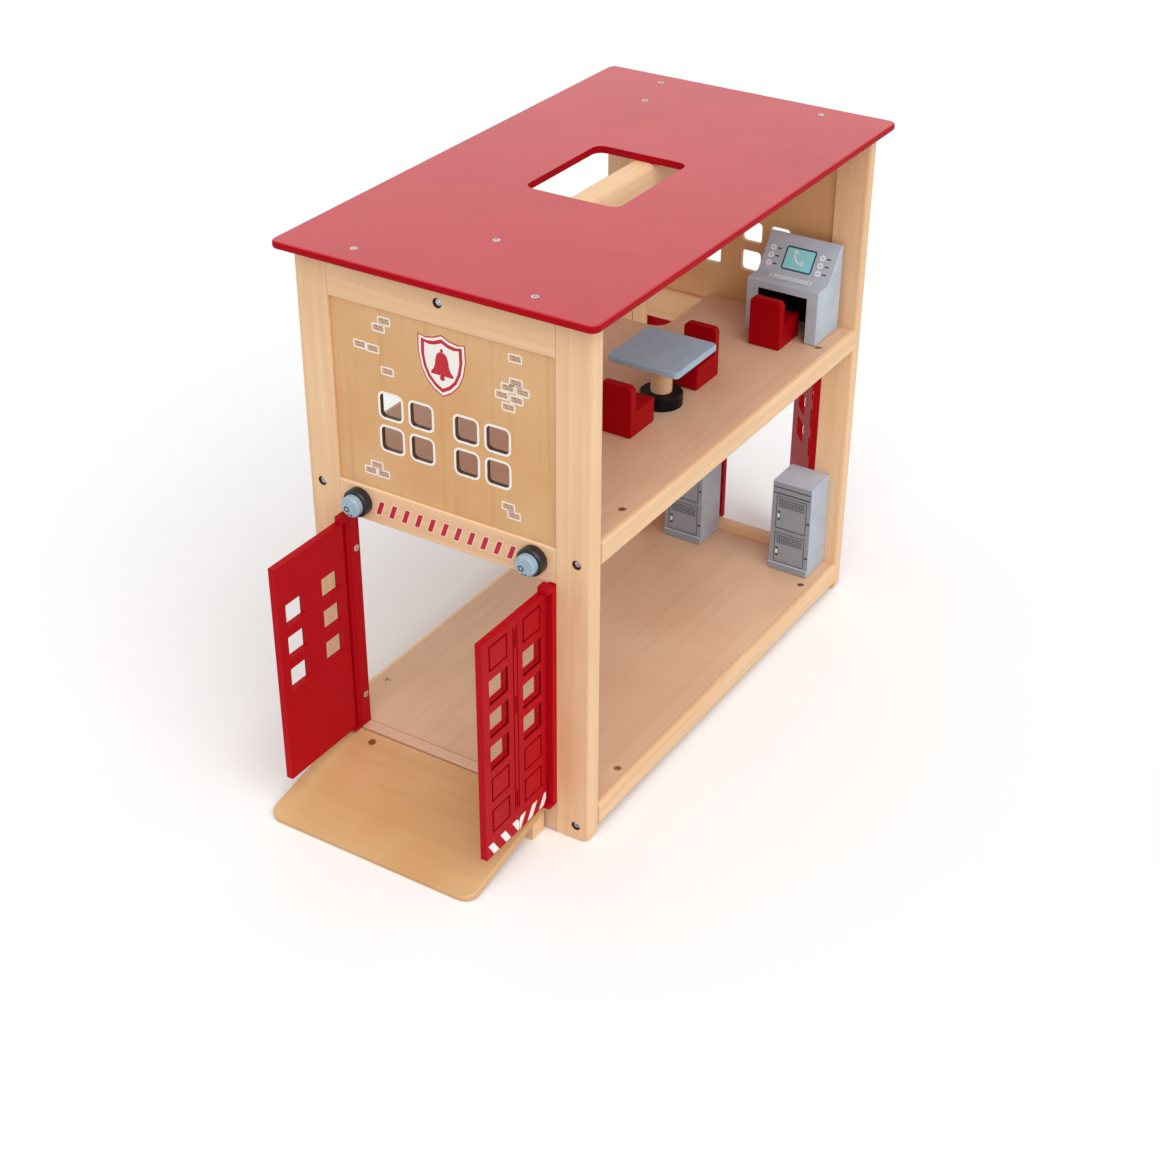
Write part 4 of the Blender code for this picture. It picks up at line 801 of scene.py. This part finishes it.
RAMP_MAIN = "#D4A46C"
RAMP_PALE = "#DCB07E"
RAMP_DARK = "#C29460"
RAMP_BAND = 0.010
RAMP_ROUGHNESS = (0.43, 0.54)
BEARER_PLANK = 9.7
dress(tan_veneer("ramp_veneer", "X", RAMP_MAIN, RAMP_PALE, RAMP_DARK, RAMP_BAND, VENEER_STREAK_SHARE,
                 RAMP_ROUGHNESS), "ramp_board")
dress(lacquered_beech("beech_ramp_bearer", "X", BEARER_PLANK), "ramp_bearer")
dress(brass_steel, "ramp_screw_left", "ramp_screw_right")

# ---- Lamps ----
# Turned lamps at both ends of the middle rail: a black base and a pale blue cap with a small
# printed ring and dash.

LAMP_X = 0.0803
LAMP_HEIGHT = 0.2505
LAMP_RING = (-0.0026, -0.0020)
LAMP_RING_RADII = (0.0026, 0.0015)
LAMP_DASH = (-0.0012, -0.0064, 0.0026, 0.0008)
LAMP_SPOT = (0.0016, -0.0062, 0.0009)
LAMP_BLACK = "#1E1B22"
LAMP_BLACK_DEEP = "#15131A"
LAMP_BLUE = "#A1BBC9"
LAMP_BLUE_DEEP = "#94AFC0"
LAMP_ROUGHNESS = (0.27, 0.35)
MARK_INK = "#2B3340"
ENAMEL_CLOUD = 0.017


def gloss_enamel(name, main, deep, roughness, index=1.5):
    """Dipped enamel: one colour with a smooth gloss, and faint clouds 17 mm wide where it ran.

    The index is lower than the 1.5 of enamel where the real paint is duller.
    """
    material = cloudy_finish(name, linear(main), linear(deep), ENAMEL_CLOUD, roughness)
    surface(material)["IOR"].default_value = index
    return material


dark_ink = screen_ink("dark_screen_ink", MARK_INK)
dress(gloss_enamel("black_enamel", LAMP_BLACK, LAMP_BLACK_DEEP, LAMP_ROUGHNESS), "lamp_base_left",
      "lamp_base_right")
dress(gloss_enamel("pale_blue_enamel", LAMP_BLUE, LAMP_BLUE_DEEP, LAMP_ROUGHNESS), "lamp_cap_left",
      "lamp_cap_right")
cap_face = front_of(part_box("lamp_cap_left")[0].y)
for side, name in ((-1, "left"), (1, "right")):
    bm = bmesh.new()
    x = side * LAMP_X
    outer, inner = (round_outline(x + LAMP_RING[0], LAMP_HEIGHT + LAMP_RING[1], radius, HEAD_STEPS)
                    for radius in LAMP_RING_RADII)
    add_band(bm, cap_face, outer, inner)
    u, v, wide, high = LAMP_DASH
    add_plate(bm, cap_face, round_corners(x + u, LAMP_HEIGHT + v, wide, high, high / 3, steps=1))
    u, v, radius = LAMP_SPOT
    add_plate(bm, cap_face, round_outline(x + u, LAMP_HEIGHT + v, radius, count=12))
    make("lamp_marks_" + name, bm, dark_ink, "station")

# ---- Table ----
# A square grey top on a turned beech leg, which stands in a round black base. The leg is glued into
# both, and both are dipped in enamel.

TABLE_GREY = "#A7C2D4"
TABLE_GREY_DEEP = "#9DB8CB"
TABLE_GREY_ROUGHNESS = (0.37, 0.45)
TABLE_GREY_IOR = 1.4
TABLE_BLACK = "#0B090C"
TABLE_BLACK_DEEP = "#070508"
TABLE_BLACK_ROUGHNESS = (0.42, 0.50)
TABLE_BLACK_IOR = 1.25
TABLE_LEG_PLANK = 11.9
dress(gloss_enamel("grey_table_enamel", TABLE_GREY, TABLE_GREY_DEEP, TABLE_GREY_ROUGHNESS,
                   TABLE_GREY_IOR), "table_top")
dress(gloss_enamel("black_table_enamel", TABLE_BLACK, TABLE_BLACK_DEEP, TABLE_BLACK_ROUGHNESS,
                   TABLE_BLACK_IOR), "table_base")
dress(lacquered_beech("beech_table_leg", "Z", TABLE_LEG_PLANK), "table_leg")

# ---- Chairs ----
# Small solid blocks with a cut-out seat, sprayed in a deeper red than the doors. They stand loose on
# the upper floor.

CHAIR_RED = "#A80410"
CHAIR_RED_DEEP = "#98030C"
CHAIR_ROUGHNESS = (0.37, 0.44)
CHAIR_IOR = 1.14
dress(red_lacquer("red_chair_lacquer", CHAIR_RED, CHAIR_RED_DEEP, CHAIR_ROUGHNESS, CHAIR_IOR),
      "dining_chair_near", "dining_chair_far", "desk_chair")

# ---- Console desk ----
# A grey box with a sloping face and a knee room, lined black inside: partly dark paint and partly
# painted shade. The screen, buttons and keys are printed on it.

DESK_GREY = "#BCC9D5"
DESK_GREY_DEEP = "#B2BFCC"
DESK_ROUGHNESS = (0.39, 0.47)
DESK_SIDE = 0.0108
DESK_BACK = 0.0040
DESK_SHELF = 0.0075
KNEE_ROOM_SETBACK = 0.0008
KNEE_ROOM_SHADE_AND_PAINT = "#1D191E"
KNEE_ROOM_SHADE_AND_PAINT_DEEP = "#151216"
KNEE_ROOM_ROUGHNESS = (0.67, 0.75)
KNEE_ROOM_IOR = 1.3
CONSOLE_WHITE = "#EDFAFF"
CONSOLE_WHITE_MOTTLE = 0.1
SCREEN_TEAL = "#96E4EC"
SCREEN_EDGE = "#1F5363"
SLOPE_SETBACK = 0.0195
SLOPE_TOP_SETBACK = 0.0025
SHELF_HEIGHT = 0.3220
SCREEN_RISE = 0.0156
SCREEN_SIZE = (0.0262, 0.0186)
SCREEN_RADIUS = 0.0009
SCREEN_LINE = 0.0015
HANDSET_CENTRE = (0.0045, 0.0215)
HANDSET_RADIUS = 0.0098
HANDSET_TURNS = (178, 262)
HANDSET_STEPS = 10
HANDSET_HALF_WIDTH = 0.0008
HANDSET_END = (0.0040, 0.0030)
BUTTON_COLUMNS = (0.0077, 0.0552)
BUTTON_RISES = (0.0219, 0.0149, 0.0078)
BUTTON_RADII = (0.0027, 0.0011)
BUTTON_DASH_SHIFT = 0.0060
BUTTON_DASH = (0.0040, 0.0013)
KEYS_SETBACK = 0.0050
KEYS_SIZE = (0.0400, 0.0070)
KEYS_LINE = 0.0011
KEY_COUNT = 11
KEY_PITCH = 0.0030
KEY_SIZE = (0.0024, 0.0015)
KEY_ROW = 0.0011
dress(gloss_enamel("console_grey_enamel", DESK_GREY, DESK_GREY_DEEP, DESK_ROUGHNESS), "console_desk")
cold_white_ink = screen_ink("cold_white_screen_ink", CONSOLE_WHITE, CONSOLE_WHITE_MOTTLE)
desk_low, desk_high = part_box("console_desk")
slope_foot = Vector((0.0, desk_low.y + SLOPE_SETBACK, SHELF_HEIGHT))
slope_top = Vector((0.0, desk_high.y - SLOPE_TOP_SETBACK, desk_high.z))
slope = on_face(slope_foot, (1, 0, 0), slope_top - slope_foot)
shelf = on_face((0.0, 0.0, SHELF_HEIGHT), (1, 0, 0), (0, 1, 0))
desk_middle = (desk_low.x + desk_high.x) / 2
left, right = desk_low.x + DESK_SIDE, desk_high.x - DESK_SIDE
ceiling = SHELF_HEIGHT - DESK_SHELF
back = desk_high.y - DESK_BACK
# The black lining of the knee room is partly dark paint and partly painted shade.
bm = bmesh.new()
arch = [(left - INK_BITE, desk_low.z), (left - INK_BITE, ceiling + INK_BITE),
        (right + INK_BITE, ceiling + INK_BITE), (right + INK_BITE, desk_low.z),
        (right - INK_THICKNESS, desk_low.z), (right - INK_THICKNESS, ceiling - INK_THICKNESS),
        (left + INK_THICKNESS, ceiling - INK_THICKNESS), (left + INK_THICKNESS, desk_low.z)]
add_plate(bm, front_of(back), arch, 0.0, back - desk_low.y - KNEE_ROOM_SETBACK)
add_plate(bm, front_of(back), [(left, desk_low.z), (right, desk_low.z), (right, ceiling), (left, ceiling)])
knee_room_dark_paint_and_shade = gloss_enamel("black_knee_room_lining_paint_and_shade", KNEE_ROOM_SHADE_AND_PAINT, KNEE_ROOM_SHADE_AND_PAINT_DEEP,
                               KNEE_ROOM_ROUGHNESS, KNEE_ROOM_IOR)
make("console_knee_room_lining_paint_and_shade", bm, knee_room_dark_paint_and_shade, "station")
screen_inner = round_corners(desk_middle, SCREEN_RISE, *SCREEN_SIZE, SCREEN_RADIUS)
screen_outer = round_corners(desk_middle, SCREEN_RISE, SCREEN_SIZE[0] + 2 * SCREEN_LINE,
                             SCREEN_SIZE[1] + 2 * SCREEN_LINE, SCREEN_RADIUS + SCREEN_LINE)
bm = bmesh.new()
add_band(bm, slope, screen_outer, screen_inner)
make("console_screen_edge", bm, screen_ink("dark_teal_screen_ink", SCREEN_EDGE), "station")
bm = bmesh.new()
add_plate(bm, slope, screen_inner, high=FILL_THICKNESS)
make("console_screen", bm, screen_ink("teal_screen_ink", SCREEN_TEAL), "station")

bm = bmesh.new()
arc = [math.radians(HANDSET_TURNS[0] + (HANDSET_TURNS[1] - HANDSET_TURNS[0]) * i / HANDSET_STEPS)
       for i in range(HANDSET_STEPS + 1)]
centre = (desk_middle + HANDSET_CENTRE[0], HANDSET_CENTRE[1])
rims = [[(centre[0] + radius * math.cos(turn), centre[1] + radius * math.sin(turn)) for turn in arc]
        for radius in (HANDSET_RADIUS + HANDSET_HALF_WIDTH, HANDSET_RADIUS - HANDSET_HALF_WIDTH)]
add_plate(bm, slope, rims[0] + rims[1][::-1], low=0.0)
for turn in (arc[0], arc[-1]):
    pad = Matrix.Rotation(turn - math.pi / 2, 2)
    middle = Vector(centre) + pad @ Vector((0.0, HANDSET_RADIUS - HANDSET_HALF_WIDTH))
    end = round_corners(0.0, 0.0, HANDSET_END[1], HANDSET_END[0], HANDSET_HALF_WIDTH, steps=2)
    add_plate(bm, slope, [middle + pad @ Vector(point) for point in end], low=0.0)
for x in BUTTON_COLUMNS:
    for rise in BUTTON_RISES:
        outer, inner = (round_outline(desk_low.x + x, rise, radius, count=20) for radius in BUTTON_RADII)
        add_band(bm, slope, outer, inner)
make("console_buttons", bm, cold_white_ink, "station")
bm = bmesh.new()
for x in BUTTON_COLUMNS:
    for rise in BUTTON_RISES:
        add_plate(bm, slope, round_corners(desk_low.x + x + BUTTON_DASH_SHIFT, rise, *BUTTON_DASH,
                                           BUTTON_DASH[1] / 3, steps=1))
make("console_dashes", bm, dark_ink, "station")
bm = bmesh.new()
keys_y = slope_foot.y - KEYS_SETBACK
add_band(bm, shelf, round_corners(desk_middle, keys_y, *KEYS_SIZE, KEYS_LINE, steps=2),
         round_corners(desk_middle, keys_y, KEYS_SIZE[0] - 2 * KEYS_LINE, KEYS_SIZE[1] - 2 * KEYS_LINE,
                       KEYS_LINE / 2, steps=2))
for i in range(KEY_COUNT):
    x = desk_middle + KEY_PITCH * (i - (KEY_COUNT - 1) / 2)
    for row in (-1, 1):
        add_plate(bm, shelf, round_corners(x, keys_y + row * KEY_ROW, *KEY_SIZE, KEY_SIZE[1] / 5, steps=1))
make("console_keys", bm, cold_white_ink, "station")

# ---- Lockers ----
# Grey blocks on a plinth. Their fronts are a darker grey, which is painted shade. They are printed and
# scored with two doors, and with the vents, handles and hinges of these.

LOCKER_GREY = "#B8C2CE"
LOCKER_GREY_DEEP = "#AEB8C5"
LOCKER_ROUGHNESS = (0.39, 0.47)
LOCKER_PAINTED_SHADE_GREY = "#939AA5"
LOCKER_SHADE_FACING_RANGE = (0.8, 0.95)
LINE_GREY = "#474D57"
LOCKER_FACE_SETBACK = 0.0010
# The two bands under the lid are painted shade where the lid steps out over the body.
LOCKER_LID_SHADE_HEIGHTS = (0.1110, 0.1168)
LOCKER_LID_SHADE_BAND = (0.0375, 0.0013)
LOCKER_DOORS = ((0.0375, 0.0695), (0.0735, 0.1080))
LOCKER_DOOR_WIDTH = 0.0310
LOCKER_LINE = 0.0008
VENT_COLUMNS = 12
VENT_ROWS = 4
VENT_PITCH = (0.0022, 0.0024)
VENT_STAGGER = 0.25
VENT_FIRST = (-0.0124, -0.0032)
VENT_HALF = (0.0011, 0.0009)
VENT_THICK = 0.0012
HANDLE_X = -0.0124
HANDLE_MARKS = ((-0.0168, 0.0026, 0.0022), (-0.0242, 0.0026, 0.0022))
HANDLE_PLATE = (-0.0205, 0.0022, 0.0042)
HANDLE_EDGE = 0.0007
HANDLE_TOP = 1.8 * INK_THICKNESS
LOCKER_HINGE_X = 0.0176
LOCKER_HINGE = (0.0032, 0.0020)
LOCKER_HINGE_RISE = 0.38
locker_grey = gloss_enamel("locker_grey_enamel", LOCKER_GREY, LOCKER_GREY_DEEP, LOCKER_ROUGHNESS)
# The faces that look to the front are painted a darker grey: painted shade.
front_share = facing_share(locker_grey.node_tree, (0, -1, 0), *LOCKER_SHADE_FACING_RANGE)
blend_in(locker_grey, front_share, linear(LOCKER_PAINTED_SHADE_GREY))
dress(locker_grey, "locker_left", "locker_right")
line_and_lid_shade_ink = screen_ink("grey_line_and_lid_shade_ink", LINE_GREY)
for name in ("left", "right"):
    low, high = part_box("locker_" + name)
    at = front_of(low.y + LOCKER_FACE_SETBACK)
    middle = (low.x + high.x) / 2
    lines, darks, whites = bmesh.new(), bmesh.new(), bmesh.new()
    # Painted shade of the lid's step: two dark bands across the top of the front.
    for z in LOCKER_LID_SHADE_HEIGHTS:
        add_plate(lines, at, round_corners(middle, z, *LOCKER_LID_SHADE_BAND, LOCKER_LID_SHADE_BAND[1] / 4, steps=1))
    for foot, top in LOCKER_DOORS:
        centre, tall = (foot + top) / 2, top - foot
        outer = round_corners(middle, centre, LOCKER_DOOR_WIDTH, tall, LOCKER_LINE, steps=1)
        inner = round_corners(middle, centre, LOCKER_DOOR_WIDTH - 2 * LOCKER_LINE, tall - 2 * LOCKER_LINE,
                              LOCKER_LINE / 4, steps=1)
        add_band(lines, at, outer, inner)
        for i in range(VENT_COLUMNS):
            for row in range(VENT_ROWS):
                x = middle + VENT_FIRST[0] + VENT_PITCH[0] * (i + VENT_STAGGER * (row % 2))
                z = top + VENT_FIRST[1] - VENT_PITCH[1] * row
                u, v = VENT_HALF
                slant = [(x - u, z - v), (x - u + VENT_THICK, z - v), (x + u, z + v),
                         (x + u - VENT_THICK, z + v)]
                add_plate(darks, at, slant)
        x = middle + HANDLE_X
        for drop, wide, high in HANDLE_MARKS:
            add_plate(darks, at, round_corners(x, top + drop, wide, high, high / 5, steps=1))
        drop, wide, high = HANDLE_PLATE
        plate = round_corners(x, top + drop, wide, high, wide / 5, steps=1)
        add_plate(whites, at, plate, 0.0, HANDLE_TOP)
        shadow = round_corners(x + HANDLE_EDGE / 2, top + drop, wide + HANDLE_EDGE, high, wide / 5, steps=1)
        add_plate(darks, at, shadow)
        hinge = round_corners(middle + LOCKER_HINGE_X, foot + LOCKER_HINGE_RISE * tall, *LOCKER_HINGE,
                              LOCKER_HINGE[1] / 4, steps=1)
        add_plate(darks, at, hinge)
    make("locker_lines_" + name, lines, line_and_lid_shade_ink, "station")
    make("locker_handles_" + name, darks, dark_ink, "station")
    make("locker_plates_" + name, whites, cold_white_ink, "station")

# ---- The floor, the light and the camera ----
# A plain pale floor under a wide soft light from the right and above, seen from the front right. The
# background is white to the camera and in gloss, and lights the station more softly. The lens and the
# sensor are in millimetres.

FLOOR_HALF = 4.0
FLOOR_LEVELS = (-0.01, -0.0001)
FLOOR_SEEN = "#FFFFFF"
FLOOR_LIT = "#EAEAEA"
FLOOR_MATT = 0.9
BACKGROUND_WHITE = "#FFFFFF"
BACKGROUND_LIGHT = 0.62
SOFT_LIGHT = 1.75
SOFT_LIGHT_ANGLE = math.radians(60)
SOFT_LIGHT_FROM = (0.50, -0.38, 0.78)
CAMERA_PLACE = (0.76938, -1.25348, 1.02016)
CAMERA_TURN = math.radians(31.9327)
CAMERA_RISE = math.radians(32.2587)
CAMERA_ROLL = math.radians(0.2690)
CAMERA_LENS = 61.75
CAMERA_WIDTH = 36.0
CAMERA_FAR = 20.0
bm = bmesh.new()
add_plate(bm, Matrix.Identity(4), [(-FLOOR_HALF, -FLOOR_HALF), (FLOOR_HALF, -FLOOR_HALF),
                                   (FLOOR_HALF, FLOOR_HALF), (-FLOOR_HALF, FLOOR_HALF)], *FLOOR_LEVELS)
mesh = bpy.data.meshes.new("floor")
bmesh.ops.recalc_face_normals(bm, faces=bm.faces)
bm.to_mesh(mesh)
bm.free()
ground = bpy.data.objects.new("floor", mesh)
bpy.context.scene.collection.objects.link(ground)
material, tree = new_material("pale_matt_floor")
rays = add(tree, "ShaderNodeLightPath").outputs["Is Camera Ray"]
colour = add(tree, "ShaderNodeMix", {0: rays, 6: linear(FLOOR_LIT), 7: linear(FLOOR_SEEN)}, data_type="RGBA")
tree.links.new(colour.outputs[2], surface(material)["Base Color"])
surface(material)["Roughness"].default_value = FLOOR_MATT
surface(material)["Specular IOR Level"].default_value = 0.0
mesh.materials.append(material)

world = bpy.data.worlds.new("studio")
world.use_nodes = True
bpy.context.scene.world = world
tree = world.node_tree
path = add(tree, "ShaderNodeLightPath")
seen = add(tree, "ShaderNodeMath", {0: path.outputs["Is Camera Ray"], 1: path.outputs["Is Glossy Ray"]},
           operation="MAXIMUM")
seen = add(tree, "ShaderNodeMath", {0: seen.outputs[0], 1: path.outputs["Is Transmission Ray"]},
           operation="MAXIMUM")
strength = add(tree, "ShaderNodeMapRange", {"Value": seen.outputs[0], "To Min": BACKGROUND_LIGHT})
background = tree.nodes["Background"]
background.inputs["Color"].default_value = linear(BACKGROUND_WHITE)
tree.links.new(strength.outputs["Result"], background.inputs["Strength"])

lamp = bpy.data.lights.new("soft_box", "SUN")
lamp.energy = SOFT_LIGHT
lamp.angle = SOFT_LIGHT_ANGLE
light = bpy.data.objects.new("soft_box", lamp)
bpy.context.scene.collection.objects.link(light)
light.rotation_euler = Vector(SOFT_LIGHT_FROM).to_track_quat("Z", "Y").to_euler()

lens = bpy.data.cameras.new("camera")
lens.sensor_fit = "HORIZONTAL"
lens.sensor_width = CAMERA_WIDTH
lens.lens = CAMERA_LENS
lens.clip_end = CAMERA_FAR
camera = bpy.data.objects.new("camera", lens)
bpy.context.scene.collection.objects.link(camera)
camera.matrix_world = (Matrix.Translation(CAMERA_PLACE) @ Matrix.Rotation(CAMERA_TURN, 4, "Z")
                       @ Matrix.Rotation(math.radians(90) - CAMERA_RISE, 4, "X")
                       @ Matrix.Rotation(CAMERA_ROLL, 4, "Z"))
bpy.context.scene.camera = camera
bpy.context.scene.view_settings.view_transform = "Standard"
